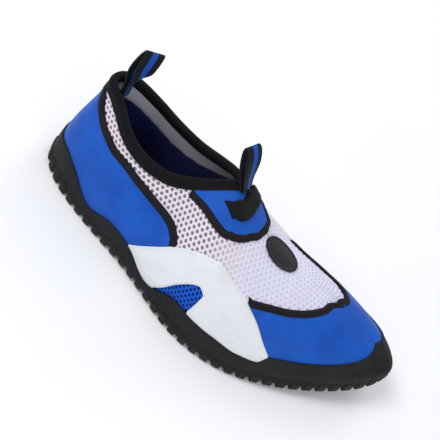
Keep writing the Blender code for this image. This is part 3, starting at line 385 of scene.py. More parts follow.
def over_ridge(tables, move):
    """A seam that crosses the ridge, moved toward the heel by a distance, as one curve for each side."""
    ka, wa = table_line(tables[-1], -1, 50)
    kb, wb = table_line(tables[1], 1, 50)
    wa[-1] = -1e-7
    cross = ka[-1]
    k, w = beside(np.r_[ka, kb[-2::-1]], np.r_[wa, wb[-2::-1]], move)
    pace = np.linalg.norm(chart(np.array(cross + 0.05), np.array(1e-9))
                          - chart(np.array(cross - 0.05), np.array(1e-9))) / 0.1
    cross = cross - RIDGE_SKEW * move / pace
    curves = {}
    for side in (-1, 1):
        keep = (w * side > 0.09) & (k < cross)
        order = np.argsort(k[keep])
        curves[side] = (np.r_[k[keep][order], cross], np.r_[np.abs(w)[keep][order], 0.0])
    return curves


def on(curve, k):
    return np.interp(k, curve[0], curve[1])


def outline(side):
    """Upper edge of the side overlay: rear, top and front seams as one curve."""
    parts = [seam(rows, side) for rows in (OVERLAY_REAR, OVERLAY_TOP[side], OVERLAY_FRONT[side])]
    k, w = np.concatenate([p[0] for p in parts]), np.concatenate([p[1] for p in parts])
    k, first = np.unique(np.round(k, 6), return_index=True)
    return k, w[first]


# Flat map of the upper, so that cloth patterns keep their size over it.


def sample(table, rows, columns):
    """Bilinear look-up in a table at fractional rows and columns."""
    rows = np.clip(rows, 0, table.shape[0] - 1.001)
    columns = np.clip(columns, 0, table.shape[1] - 1.001)
    i, j = rows.astype(int), columns.astype(int)
    f, g = rows - i, columns - j
    return (table[i, j] * (1 - f) * (1 - g) + table[i + 1, j] * f * (1 - g)
            + table[i, j + 1] * (1 - f) * g + table[i + 1, j + 1] * f * g)


MAP_ROWS, MAP_COLUMNS = 641, 161
MAP_K = np.linspace(0, TOE, MAP_ROWS)
MAP_W = np.linspace(1e-6, 1, MAP_COLUMNS)
MAP_DEPTH = np.linspace(0, 0.130, 261)


def build_map():
    """For each side: station and depth of every section, and both ways of looking them up."""
    maps, lengths = {}, []
    share = (ease((MAP_K - 3) / 3) * ease((TOE - MAP_K) / 3.5))[:, None]
    for side in (-1, 1):
        points = chart(MAP_K[:, None] + 0 * MAP_W, side * MAP_W + 0 * MAP_K[:, None])
        across = np.stack([np.interp(points[:, 0, 0], np.maximum.accumulate(points[:, j, 0]), MAP_K)
                           for j in range(MAP_COLUMNS)], axis=1)
        station = (1 - share) * MAP_K[:, None] + share * across
        section = chart(station, side * MAP_W + 0 * station)
        depth = np.zeros_like(station)
        depth[:, 1:] = np.cumsum(np.linalg.norm(np.diff(section, axis=1), axis=2), axis=1)
        whole = depth[:, -1]
        at_throat = whole[np.searchsorted(MAP_K, THROAT)]
        depth += np.where(MAP_K < THROAT, at_throat - whole, 0.0)[:, None]
        step = np.linalg.norm(np.diff(section, axis=0), axis=2)
        lengths.append(step[:, [30, 70]].mean(axis=1))
        inverse = np.stack([np.interp(MAP_DEPTH, depth[i], MAP_W) for i in range(MAP_ROWS)])
        back = np.stack([np.interp(MAP_K, station[:, j], MAP_K) for j in range(MAP_COLUMNS)], axis=1)
        maps[side] = {"station": station, "depth": depth, "share": inverse, "section": back,
                      "top": depth[:, 0], "foot": depth[:, -1]}
    run = np.r_[0, np.cumsum((lengths[0] + lengths[1]) / 2)]
    return maps, run


FLAT, FLAT_RUN = build_map()


def to_flat(k, w):
    """Chart places to flat cloth coordinates, in metres."""
    k, w = np.asarray(k, float), np.asarray(w, float)
    u, v = np.zeros_like(k), np.zeros_like(k)
    for side in (-1, 1):
        pick = (w < 0) == (side < 0)
        j = np.abs(w[pick]) * (MAP_COLUMNS - 1)
        section = sample(FLAT[side]["section"], k[pick] / TOE * (MAP_ROWS - 1), j)
        row = section / TOE * (MAP_ROWS - 1)
        u[pick] = np.interp(row, np.arange(MAP_ROWS), FLAT_RUN)
        v[pick] = side * sample(FLAT[side]["depth"], row, j)
    return u, v


def from_flat(u, v):
    """Flat cloth coordinates to chart places, and whether they lie on the upper."""
    row = np.interp(u, FLAT_RUN, np.arange(MAP_ROWS))
    k, w = np.zeros_like(u), np.zeros_like(u)
    good = (u > 0) & (u < FLAT_RUN[-1])
    for side in (-1, 1):
        pick = (v < 0) == (side < 0)
        depth = np.abs(v[pick])
        column = depth / MAP_DEPTH[-1] * (len(MAP_DEPTH) - 1)
        share = sample(FLAT[side]["share"], row[pick], column)
        top = np.interp(row[pick], np.arange(MAP_ROWS), FLAT[side]["top"])
        foot = np.interp(row[pick], np.arange(MAP_ROWS), FLAT[side]["foot"])
        k[pick] = sample(FLAT[side]["station"], row[pick], share * (MAP_COLUMNS - 1))
        w[pick] = side * np.maximum(share, 1e-7)
        good[pick] &= (depth >= top - 1e-4) & (depth <= foot)
    return k, w, good


# Meshes.


def plain_mesh(name, points, faces=(), edges=()):
    mesh = bpy.data.meshes.new(name)
    mesh.from_pydata([tuple(p) for p in points], edges, faces)
    return mesh


def in_scene(name, data):
    obj = bpy.data.objects.new(name, data)
    bpy.context.scene.collection.objects.link(obj)
    return obj


def add_facts(mesh, facts):
    """Float or vector attributes on a mesh's points."""
    for key, values in facts.items():
        values = np.asarray(values, np.float32)
        single = values.ndim == 1
        layer = mesh.attributes.new(key, "FLOAT" if single else "FLOAT_VECTOR", "POINT")
        layer.data.foreach_set("value" if single else "vector", values.ravel())


def mesh_object(name, points, faces, material, facts=None):
    """A merged mesh at the origin, its normals outward, with attributes on its points."""
    mesh = plain_mesh(name, points, faces)
    add_facts(mesh, facts or {})
    mesh.validate()
    bm = bmesh.new()
    bm.from_mesh(mesh)
    bmesh.ops.remove_doubles(bm, verts=bm.verts, dist=0.000003)
    bmesh.ops.recalc_face_normals(bm, faces=bm.faces)
    if bm.calc_volume(signed=True) < 0:
        bmesh.ops.reverse_faces(bm, faces=bm.faces)
    bm.to_mesh(mesh)
    bm.free()
    mesh.polygons.foreach_set("use_smooth", [True] * len(mesh.polygons))
    mesh.materials.append(material)
    return in_scene(name, mesh)


def grid_faces(rows, columns, start=0, closed=False):
    faces = []
    for i in range(rows - 1 + (1 if closed else 0)):
        a, b = start + i * columns, start + ((i + 1) % rows) * columns
        for j in range(columns - 1):
            faces.append((a + j, b + j, b + j + 1, a + j + 1))
    return faces


def tube_faces(rings, spokes):
    """Faces between rings that each close on themselves."""
    faces = []
    for i in range(rings - 1):
        for j in range(spokes):
            n = (j + 1) % spokes
            faces.append((i * spokes + j, (i + 1) * spokes + j, (i + 1) * spokes + n, i * spokes + n))
    return faces


def row_shares(length, rows, near=(0.0, 0.12, 0.3, 0.6, 1.0)):
    """Shares across a strip, close together near both of its edges."""
    near = np.array(near) * MM
    near = near[None, :] * np.minimum(1.0, length / 0.0026)[:, None]
    start = near / length[:, None]
    inner = np.linspace(0, 1, rows + 2)[1:-1]
    middle = start[:, -1:] + (1 - 2 * start[:, -1:]) * inner
    return np.concatenate([start, middle, 1 - start[:, ::-1]], axis=1)


def strip(side, ks, upper, lower, rows):
    """Chart grid between two seams given as functions of the station."""
    a, b = upper(ks), np.maximum(lower(ks), upper(ks) + 1e-5)
    high, low = chart(ks, side * np.maximum(a, 1e-9)), chart(ks, side * np.maximum(b, 1e-9))
    length = np.linalg.norm(low - high, axis=1)
    shares = row_shares(np.maximum(length, 1e-5), rows)
    w = a[:, None] + (b - a)[:, None] * shares
    return np.repeat(ks[:, None], w.shape[1], axis=1), side * np.maximum(w, 1e-9)


def sheet(name, grids, top, radius, material, low=0.0, foot=0.0, power=2.0):
    """Closed cloth piece over chart grids, its top rounded down to the upper along its whole edge."""
    ks, ws, faces, start = [], [], [], 0
    for k, w in grids:
        ks.append(k.ravel())
        ws.append(w.ravel())
        faces += grid_faces(k.shape[0], k.shape[1], start)
        start += k.size
    k, w = np.concatenate(ks), np.concatenate(ws)
    flat = chart(k, w)
    keys = np.round(flat / 0.000003).astype(np.int64)
    _, first, back = np.unique(keys, axis=0, return_index=True, return_inverse=True)
    back = back.ravel()
    k, w, flat = k[first], w[first], flat[first]
    clean, edges = [], {}
    for face in faces:
        ring = []
        for i in face:
            if not ring or back[i] != ring[-1]:
                ring.append(int(back[i]))
        if len(ring) > 1 and ring[0] == ring[-1]:
            ring.pop()
        if len(ring) < 3 or len(set(ring)) < len(ring):
            continue
        clean.append(ring)
        for a, b in zip(ring, ring[1:] + ring[:1]):
            edges.setdefault((min(a, b), max(a, b)), []).append((a, b))
    rim = [pairs[0] for pairs in edges.values() if len(pairs) == 1]
    tree = KDTree(len(rim) * 2)
    for n, (a, b) in enumerate(rim):
        tree.insert(Vector(flat[a]), 2 * n)
        tree.insert(Vector((flat[a] + flat[b]) / 2), 2 * n + 1)
    tree.balance()
    away = np.array([tree.find(Vector(p))[2] for p in flat])
    inward = 1 - np.clip(away / radius, 0, 1)
    off = foot + (top - foot) * (1 - inward ** power) ** (1 / power)
    upper, under = place(k, w, off), place(k, w, low)
    count = len(k)
    solid = clean + [[i + count for i in reversed(ring)] for ring in clean]
    solid += [[b, a, a + count, b + count] for a, b in rim]
    u, v = to_flat(k, w)
    cloth = np.tile(np.stack([u, v, np.zeros_like(u)], axis=1) * 1000, (2, 1))
    distance = np.tile(np.minimum(away, 0.02) * 1000, 2)
    facts = {"cloth": cloth, "edge": distance}
    return mesh_object(name, np.concatenate([upper, under]), solid, material, facts)


# Geometry node trees for what repeats.


class Tree:
    """A geometry node tree with named inputs."""

    def __init__(self, name, sizes):
        self.tree = bpy.data.node_groups.new(name, "GeometryNodeTree")
        face = self.tree.interface
        face.new_socket(name="Geometry", in_out="INPUT", socket_type="NodeSocketGeometry")
        for key, kind in sizes.items():
            face.new_socket(name=key, in_out="INPUT", socket_type="NodeSocket" + kind)
        face.new_socket(name="Geometry", in_out="OUTPUT", socket_type="NodeSocketGeometry")
        self.inputs = self.tree.nodes.new("NodeGroupInput").outputs
        self.outputs = self.tree.nodes.new("NodeGroupOutput").inputs

    def node(self, kind, settings=None, **values):
        node = self.tree.nodes.new(kind)
        for key, value in (settings or {}).items():
            setattr(node, key, value)
        for key, value in values.items():
            socket = node.inputs[int(key[1:])] if key[0] == "i" and key[1:].isdigit() else \
                node.inputs[key.replace("_", " ")]
            if isinstance(value, bpy.types.NodeSocket):
                self.tree.links.new(value, socket)
            else:
                socket.default_value = value
        return node.outputs

    def finish(self, geometry):
        real = self.node("GeometryNodeRealizeInstances", i0=geometry)
        done = self.node("GeometryNodeSetMaterial", Geometry=real[0], Material=self.inputs["Material"])
        self.tree.links.new(done[0], self.outputs[0])
        return self.tree


def grow(source, tree, name, **values):
    """Runs a tree on an object and keeps the result as a plain mesh object."""
    modifier = source.modifiers.new("grow", "NODES")
    modifier.node_group = tree
    for item in tree.interface.items_tree:
        if item.in_out == "INPUT" and item.name in values:
            modifier[item.identifier] = values[item.name]
    bpy.context.view_layer.update()
    mesh = bpy.data.meshes.new_from_object(source.evaluated_get(bpy.context.evaluated_depsgraph_get()))
    source.modifiers.clear()
    bpy.data.objects.remove(source)
    mesh.name = name
    mesh.polygons.foreach_set("use_smooth", [True] * len(mesh.polygons))
    return in_scene(name, mesh)


def air_mesh_tree():
    """Six-sided cells become a knitted lattice: a hole in each, with a rounded rim going down."""
    t = Tree("air_mesh", {"Hole": "Float", "Depth": "Float", "Round": "Int", "Material": "Material"})
    ring = t.node("GeometryNodeExtrudeMesh", {"mode": "FACES"}, Mesh=t.inputs["Geometry"], Offset_Scale=0.0,
                  Individual=True)
    hole = t.node("GeometryNodeScaleElements", {"domain": "FACE"}, Geometry=ring["Mesh"],
                  Selection=ring["Top"], Scale=t.inputs["Hole"])
    drop = t.node("ShaderNodeMath", {"operation": "MULTIPLY"}, i0=t.inputs["Depth"], i1=-1.0)
    wall = t.node("GeometryNodeExtrudeMesh", {"mode": "FACES"}, Mesh=hole["Geometry"],
                  Selection=ring["Top"], Offset_Scale=drop[0], Individual=True)
    gone = t.node("GeometryNodeDeleteGeometry", {"domain": "FACE"}, Geometry=wall["Mesh"],
                  Selection=wall["Top"])
    soft = t.node("GeometryNodeSubdivisionSurface", Mesh=gone[0], Level=t.inputs["Round"])
    return t.finish(soft[0])


def stitch_tree():
    """A row of thread stitches along a line of edges."""
    t = Tree("stitch_row", {"Pitch": "Float", "Stitch": "Float", "Thread": "Float", "Material": "Material"})
    line = t.node("GeometryNodeMeshToCurve", Mesh=t.inputs["Geometry"])
    even = t.node("GeometryNodeResampleCurve", {"mode": "LENGTH"}, Curve=line[0], Length=t.inputs["Pitch"])
    tangent = t.node("GeometryNodeInputTangent")
    turn = t.node("FunctionNodeAlignRotationToVector", {"axis": "Z"}, Vector=tangent[0])
    body = t.node("GeometryNodeMeshCylinder", {"fill_type": "TRIANGLE_FAN"}, Vertices=6, Side_Segments=3,
                  Radius=t.inputs["Thread"], Depth=t.inputs["Stitch"])
    row = t.node("GeometryNodeInstanceOnPoints", Points=even[0], Instance=body["Mesh"], Rotation=turn[0])
    return t.finish(row[0])


def block_tree():
    """One tread block on each point."""
    t = Tree("tread_blocks", {"Block": "Object", "Material": "Material"})
    block = t.node("GeometryNodeObjectInfo", Object=t.inputs["Block"])
    rows = t.node("GeometryNodeInstanceOnPoints", Points=t.inputs["Geometry"], Instance=block["Geometry"])
    return t.finish(rows[0])


# Shader expressions.


class Value:
    """A shader socket that takes part in arithmetic."""

    def __init__(self, finish, socket):
        self.finish, self.socket = finish, socket

    def math(self, operation, a, b=0.0):
        return self.finish.node("ShaderNodeMath", {"operation": operation}, i0=a, i1=b)

    def __add__(self, other):
        return self.math("ADD", self, other)

    def __radd__(self, other):
        return self.math("ADD", other, self)

    def __sub__(self, other):
        return self.math("SUBTRACT", self, other)

    def __rsub__(self, other):
        return self.math("SUBTRACT", other, self)

    def __mul__(self, other):
        return self.math("MULTIPLY", self, other)

    def __rmul__(self, other):
        return self.math("MULTIPLY", other, self)

    def wave(self, period):
        """A sine of that period, from -1 to 1."""
        return self.math("SINE", self * (2 * math.pi / period))

    def band(self, low, high):
        """0 below low, 1 above high, soft between."""
        return self.finish.node("ShaderNodeMapRange", {"interpolation_type": "SMOOTHSTEP"}, Value=self,
                                From_Min=low, From_Max=high)


def rgb(code):
    """Linear colour of a web colour."""
    parts = [int(code[i:i + 2], 16) / 255 for i in (0, 2, 4)]
    return [c / 12.92 if c < 0.04045 else ((c + 0.055) / 1.055) ** 2.4 for c in parts] + [1.0]


class Finish:
    """One material: its nodes, and the sockets of its shader."""

    def __init__(self, name, **constants):
        self.material = bpy.data.materials.new(name)
        self.material.use_nodes = True
        self.tree = self.material.node_tree
        self.shader = self.tree.nodes["Principled BSDF"]
        for key, value in constants.items():
            self.shader.inputs[key.replace("_", " ")].default_value = value

    def node(self, kind, settings=None, output=0, **values):
        node = self.tree.nodes.new(kind)
        for key, value in (settings or {}).items():
            setattr(node, key, value)
        for key, value in values.items():
            index = key[0] == "i" and key[1:].isdigit()
            self.give(node.inputs[int(key[1:])] if index else node.inputs[key.replace("_", " ")], value)
        return Value(self, node.outputs[output])

    def give(self, socket, value):
        if isinstance(value, Value):
            self.tree.links.new(value.socket, socket)
        else:
            socket.default_value = value

    def feed(self, **values):
        for key, value in values.items():
            self.give(self.shader.inputs[key.replace("_", " ")], value)
        return self.material

    def mix(self, factor, a, b):
        return self.node("ShaderNodeMix", {"data_type": "RGBA"}, output=2, i0=factor, i6=a, i7=b)

    def number(self, name):
        return self.node("ShaderNodeAttribute", {"attribute_name": name}, output=2)

    def vector(self, name):
        return self.node("ShaderNodeAttribute", {"attribute_name": name}, output=1)

    def spot(self):
        return self.node("ShaderNodeTexCoord", output=3)

    def split(self, vector):
        outputs = self.node("ShaderNodeSeparateXYZ", Vector=vector).socket.node.outputs
        return [Value(self, outputs[i]) for i in range(3)]

    def stretch(self, vector, scale):
        return self.node("ShaderNodeMapping", {"vector_type": "POINT"}, Vector=vector, Scale=scale)

    def noise(self, vector, scale, detail=2.0, rough=0.5):
        return self.node("ShaderNodeTexNoise", Vector=vector, Scale=scale, Detail=detail, Roughness=rough)

    def cells(self, vector, scale):
        return self.node("ShaderNodeTexVoronoi", Vector=vector, Scale=scale)

    def bump(self, height, strength, distance, normal=None):
        values = {"Height": height, "Strength": strength, "Distance": distance}
        if normal is not None:
            values["Normal"] = normal
        return self.node("ShaderNodeBump", **values)


def knit(finish, cloth, wale, course):
    """Height of a fine knit: loops of a wale and course size, in mm."""
    u, v, _ = finish.split(cloth)
    lean = u + v.wave(course * 2) * (wale * 0.22)
    return (lean.wave(wale) * 0.5 + 0.5) * (v.wave(course) * 0.35 + 0.65)


def stretch_fabric():
    f = Finish("blue_stretch_fabric", Sheen_Weight=0.03, Sheen_Roughness=0.35, Specular_IOR_Level=0.22)
    cloth, edge = f.vector("cloth"), f.number("edge")
    cloud, fibre = f.noise(cloth, 0.045, 3.0), f.noise(cloth, 1.9, 2.0)
    loops = knit(f, cloth, 0.62, 0.50)
    colour = f.mix(cloud.band(0.32, 0.70), rgb("0750B4"), rgb("0A5CC6"))
    colour = f.mix((1 - loops) * 0.30, colour, rgb("04318A"))
    # Painted shade: the blue is darker near its edges, where it runs under the trims and overlays.
    colour = f.mix((1 - edge.band(0.2, 1.6)) * 0.55, colour, rgb("032A70"))
    rough = 0.42 + fibre * 0.16 + (1 - loops) * 0.06
    soft = f.bump(f.noise(cloth, 0.16, 2.0), 0.25, 0.0012)
    fine = f.bump(loops + fibre * 0.3, 0.30, 0.00018, soft)
    return f.feed(Base_Color=colour, Roughness=rough, Normal=fine)


def mesh_yarn():
    f = Finish("mesh_yarn", Sheen_Weight=0.04, Sheen_Roughness=0.5, Specular_IOR_Level=0.2)
    cloth = f.vector("cloth")
    strands, cloud = f.noise(f.stretch(cloth, (2.2, 5.5, 1.0)), 1.0, 3.0), f.noise(cloth, 0.05, 3.0)
    front = f.number("front")
    colour = f.mix(front, rgb("EAE0E6"), rgb("E3E2F4"))
    colour = f.mix(cloud.band(0.35, 0.75) * 0.35, colour, rgb("D8D2E0"))
    colour = f.mix(strands.band(0.62, 0.40) * 0.28, colour, rgb("B9B2C4"))
    return f.feed(Base_Color=colour, Roughness=0.72 + strands * 0.2,
                  Normal=f.bump(strands, 0.5, 0.0002))


def mesh_ground():
    f = Finish("mesh_ground", Specular_IOR_Level=0.25)
    cloth, front = f.vector("cloth"), f.number("front")
    weave = knit(f, cloth, 0.7, 0.7)
    # Painted shade: the ground seen through the holes is a darker, shaded copy on the sides and a lighter,
    # lit copy on the vamp.
    side = f.mix(weave, rgb("74677A"), rgb("94899A"))
    vamp = f.mix(weave, rgb("CFCDE2"), rgb("DDDBEE"))
    return f.feed(Base_Color=f.mix(front, side, vamp), Roughness=0.85 + weave * 0.1,
                  Normal=f.bump(weave, 0.4, 0.0002))


def window_finishes():
    f = Finish("window_yarn", Specular_IOR_Level=0.2)
    cloth = f.vector("cloth")
    strands = f.noise(f.stretch(cloth, (2.2, 5.5, 1.0)), 1.0, 3.0)
    colour = f.mix(strands.band(0.35, 0.65), rgb("0745AE"), rgb("0F5ED0"))
    yarn = f.feed(Base_Color=colour, Roughness=0.55 + strands * 0.25, Normal=f.bump(strands, 0.5, 0.0002))
    g = Finish("window_ground", Specular_IOR_Level=0.2)
    weave = knit(g, g.vector("cloth"), 0.7, 0.7)
    ground = g.feed(Base_Color=g.mix(weave, rgb("020B2C"), rgb("041448")), Roughness=0.85 + weave * 0.1)
    return yarn, ground


def smooth_synthetic():
    f = Finish("white_synthetic", Specular_IOR_Level=0.45, Coat_Weight=0.06, Coat_Roughness=0.35)
    cloth, edge = f.vector("cloth"), f.number("edge")
    grain = f.cells(cloth, 2.6)
    cloud = f.noise(cloth, 0.06, 4.0, 0.6)
    wrinkle = f.noise(f.stretch(cloth, (0.05, 0.16, 1.0)), 1.0, 3.0, 0.55)
    streak = f.noise(f.stretch(cloth, (0.35, 0.06, 1.0)), 1.0, 2.0)
    colour = f.mix(cloud.band(0.30, 0.72), rgb("E3E4E8"), rgb("DDDEE2"))
    colour = f.mix(streak.band(0.60, 0.85) * 0.22, colour, rgb("CBCDD2"))
    colour = f.mix((1 - edge.band(0.15, 0.9)) * 0.5, colour, rgb("EEF1F6"))
    soft = f.bump(wrinkle, 0.55, 0.0016)
    return f.feed(Base_Color=colour, Roughness=0.46 + cloud * 0.14,
                  Normal=f.bump(grain, 0.22, 0.00012, soft))


def tape(name, dark, light, pitch, sheen):
    """Knitted black tape with fine ribs across."""
    f = Finish(name, Sheen_Weight=sheen, Sheen_Roughness=0.4, Specular_IOR_Level=0.16)
    u, v, _ = f.split(f.vector("cloth"))
    ribs = (u.wave(pitch) * 0.5 + 0.5) * (v.wave(pitch * 0.8) * 0.3 + 0.7)
    fuzz = f.noise(f.vector("cloth"), 2.4, 2.0)
    colour = f.mix(ribs * 0.6 + fuzz * 0.4, rgb(dark), rgb(light))
    fine = f.bump(ribs + fuzz * 0.4, 0.5, 0.0002)
    return f.feed(Base_Color=colour, Roughness=0.72 + fuzz * 0.18, Normal=fine)


def trim_rubber():
    f = Finish("black_trim", Specular_IOR_Level=0.16)
    cloth, edge = f.vector("cloth"), f.number("edge")
    grain, dust = f.noise(cloth, 1.6, 3.0), f.noise(cloth, 0.12, 3.0)
    colour = f.mix(grain.band(0.35, 0.75), rgb("121015"), rgb("201D23"))
    colour = f.mix(dust.band(0.55, 0.80) * 0.35, colour, rgb("2C2228"))
    channel = (edge - 2.1) * (edge - 2.1)
    return f.feed(Base_Color=colour, Roughness=0.62 + grain * 0.16,
                  Normal=f.bump(grain * 0.5 + channel.band(0.0, 0.25), 0.35, 0.00025))


def sole_rubber():
    f = Finish("outsole_rubber", Specular_IOR_Level=0.22)
    spot = f.spot()
    run, rise, _ = f.split(f.vector("ring"))
    grain, cloud = f.noise(spot, 1400.0, 2.0), f.noise(spot, 38.0, 4.0)
    pores = f.cells(spot, 620.0)
    ribs = (run.wave(2.45) * 0.5 + 0.5).band(0.2, 0.75) * rise.band(5.5, 7.0) * (1 - rise.band(13.5, 16.0))
    colour = f.mix(cloud.band(0.30, 0.70), rgb("111214"), rgb("1C1E21"))
    colour = f.mix((1 - rise.band(0.4, 4.5)) * 0.55 * cloud.band(0.25, 0.65), colour, rgb("36373A"))
    scuff = f.noise(f.stretch(spot, (60.0, 60.0, 900.0)), 1.0, 3.0).band(0.64, 0.78)
    colour = f.mix(scuff * 0.28, colour, rgb("4A4A4C"))
    rough = 0.56 + cloud * 0.16 + grain * 0.06
    coarse = f.bump(ribs, 0.55, 0.0004)
    return f.feed(Base_Color=colour, Roughness=rough,
                  Normal=f.bump(grain * 0.6 + pores * 0.5, 0.34, 0.00022, coarse))


def lining_cloth():
    f = Finish("lining", Specular_IOR_Level=0.2, Sheen_Weight=0.1)
    cloth, down = f.vector("cloth"), f.number("down")
    wander = f.noise(cloth, 0.11, 2.0) * 3.4 - 1.7
    depth = down + wander
    band = 1 - depth.band(20.6, 21.4)
    u, v, _ = f.split(cloth)
    holes = (u.wave(2.6) * v.wave(2.6)).band(0.25, 0.75)
    pile, cloud = f.noise(cloth, 1.1, 3.0), f.noise(cloth, 0.09, 3.0)
    grey = f.mix(holes * 0.55 + pile * 0.25, rgb("D6D6DC"), rgb("A2A2AC"))
    grey = f.mix(cloud.band(0.4, 0.7) * 0.4, grey, rgb("BBBBC6"))
    grey = f.mix(depth.band(17.4, 20.4), grey, rgb("A9ACCB"))
    navy = f.mix(pile.band(0.3, 0.7), rgb("08064A"), rgb("12126C"))
    ledge = 1 - depth.band(19.8, 21.6)
    return f.feed(Base_Color=f.mix(band, navy, grey), Roughness=0.8 + pile * 0.15,
                  Normal=f.bump(ledge * 1.0 + pile * 0.15 - holes * 0.1 * band, 0.7, 0.0012))


def foam_cloth():
    f = Finish("insole_foam", Specular_IOR_Level=0.2)
    spot = f.spot()
    pile, cloud = f.noise(spot, 900.0, 3.0), f.noise(spot, 30.0, 3.0)
    colour = f.mix(pile * 0.6 + cloud * 0.4, rgb("03021F"), rgb("0A0B45"))
    return f.feed(Base_Color=colour, Roughness=0.82 + pile * 0.12, Normal=f.bump(pile, 0.5, 0.0004))


def webbing():
    f = Finish("webbing", Specular_IOR_Level=0.2)
    along, across, _ = f.split(f.vector("cloth"))
    twill = ((along + across * 1.2).wave(1.1) * 0.5 + 0.5) * (across.wave(0.9) * 0.3 + 0.7)
    centre = f.number("stripe")
    stripe = (1 - centre.band(1.7, 2.1))
    blue = f.mix(twill, rgb("0A3F96"), rgb("1B66CC"))
    black = f.mix(twill, rgb("0B0B0E"), rgb("1A1A1F"))
    return f.feed(Base_Color=f.mix(stripe, black, blue), Roughness=0.6 + twill * 0.15,
                  Normal=f.bump(twill, 0.7, 0.0003))


def badge_rubber():
    f = Finish("badge_rubber", Specular_IOR_Level=0.35)
    spot = f.spot()
    grain, cloud = f.noise(spot, 1500.0, 2.0), f.noise(spot, 90.0, 3.0)
    colour = f.mix(cloud, rgb("0E0E12"), rgb("1B1B20"))
    return f.feed(Base_Color=colour, Roughness=0.42 + grain * 0.14, Normal=f.bump(grain, 0.25, 0.00015))


def thread(name, dark, light):
    f = Finish(name, Specular_IOR_Level=0.4)
    twist = f.noise(f.spot(), 2600.0, 1.0)
    return f.feed(Base_Color=f.mix(twist, rgb(dark), rgb(light)), Roughness=0.55 + twist * 0.2)


STRETCH, YARN, GROUND = stretch_fabric(), mesh_yarn(), mesh_ground()
WINDOW_YARN, WINDOW_GROUND = window_finishes()
WHITE = smooth_synthetic()
TAPE = tape("black_tape", "060608", "141417", 0.8, 0.02)
PATCH_TAPE = tape("patch_tape", "07090A", "191D1F", 0.9, 0.04)
TRIMS, RUBBER, LINING, FOAM = trim_rubber(), sole_rubber(), lining_cloth(), foam_cloth()
WEBBING, BADGE = webbing(), badge_rubber()
WHITE_THREAD = thread("white_thread", "C9CDD3", "E9ECF0")
BLACK_THREAD = thread("black_thread", "0C0C0E", "232327")


def settle(obj, slot, *nodes):
    """The piece rides on the shoe and stands for its solids."""
    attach(obj, "root")
    if nodes:
        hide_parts(*nodes)
    return obj


# Pieces.

UNDER = 0.0012          # cloth runs this far under what covers its edge
PANEL_TOP = PANEL_GAP + PANEL
OVERLAY_OFF = PANEL_TOP + 0.0004
TRIM_TOP = PANEL_GAP + TRIM
STITCH_OFF = TRIM_TOP * 0.90   # of the black stitches, sunk a little into the trims
STITCH_LIFT = 0.00004   # of the white stitches over the overlay
STITCHES = stitch_tree()


def thread_row(name, points, material, slot, pitch, stitch, thread_size):
    """Stitches along a line of points."""
    edges = [(i, i + 1) for i in range(len(points) - 1)]
    line = in_scene(name, plain_mesh(name, points, edges=edges))
    row = grow(line, STITCHES, name, Pitch=pitch * MM, Stitch=stitch * MM, Thread=thread_size * MM,
               Material=material)
    return settle(row, slot)


def stitch_row(name, k, w, off, material, slot):
    return thread_row(name, place(k, w, off), material, slot, 2.5, 1.7, 0.17)


def common_start(a, b):
    """Two curves made to start at the same share at the heel."""
    start = (on(a, 0.0) + on(b, 0.0)) / 2
    return [(np.r_[0.0, c[0][c[0] > 0.06]], np.r_[start, c[1][c[0] > 0.06]]) for c in (a, b)]


def stations(start, end, pitch=0.028, extra=()):
    count = max(2, int(round((end - start) / pitch)) + 1)
    between = [c for c in extra if start < c < end]
    return np.unique(np.round(np.r_[np.linspace(start, end, count), between], 6))


def heel_pieces():
    line = HEEL_TRIM_LINE + ((7.22, 0.625),)
    lows = common_start(*[seam(line, s, TRIM_WIDTH / 2) for s in (-1, 1)])
    overs = common_start(*[seam(line, s, -TRIM_WIDTH / 2) for s in (-1, 1)])
    middles = common_start(*[seam(line, s) for s in (-1, 1)])
    panels, trims = [], []
    for side, low, over, middle in zip((-1, 1), lows, overs, middles):
        edge, word = outline(side), "lateral" if side < 0 else "medial"

        def bound(k):
            cut = np.minimum(lip_share(k, side, -UNDER), on(edge, k) + step_down(k, side, UNDER))
            return np.where(k < edge[0][0] - 0.04, lip_share(k, side, -UNDER), cut)

        def trim_low(k):
            return np.minimum(np.where(k > low[0][-1], 9.0, on(low, k)), bound(k))

        ks = stations(0.0, over[0][-1], extra=(low[0][-1],))
        ks = ks[(trim_low(ks) - on(over, ks) > 0.003) | (ks < 6)]
        trims.append(strip(side, ks, lambda k: on(over, k), trim_low, 8))
        ks = stations(0.0, middle[0][-1])
        ks = ks[(bound(ks) - on(middle, ks) > 0.003) | (ks < 6)]
        panels.append(strip(side, ks, lambda k: on(middle, k), bound, 14))
        for part, curve, way in (("upper", over, 1), ("lower", low, -1)):
            k = stations(0.05, HEEL_END - 0.12, 0.05)
            w = side * (on(curve, k) + way * step_down(k, side, 0.0011))
            name = f"heel_trim_stitches_{part}_{word}"
            stitch_row(name, k, w, STITCH_OFF, BLACK_THREAD, "black_trim")
    settle(sheet("heel_quarter", panels, PANEL_TOP, 0.0009, STRETCH), "blue_stretch_fabric", "heel_quarter")
    settle(sheet("heel_trim", trims, TRIM_TOP, 0.0024, TRIMS), "black_trim", "heel_trim")


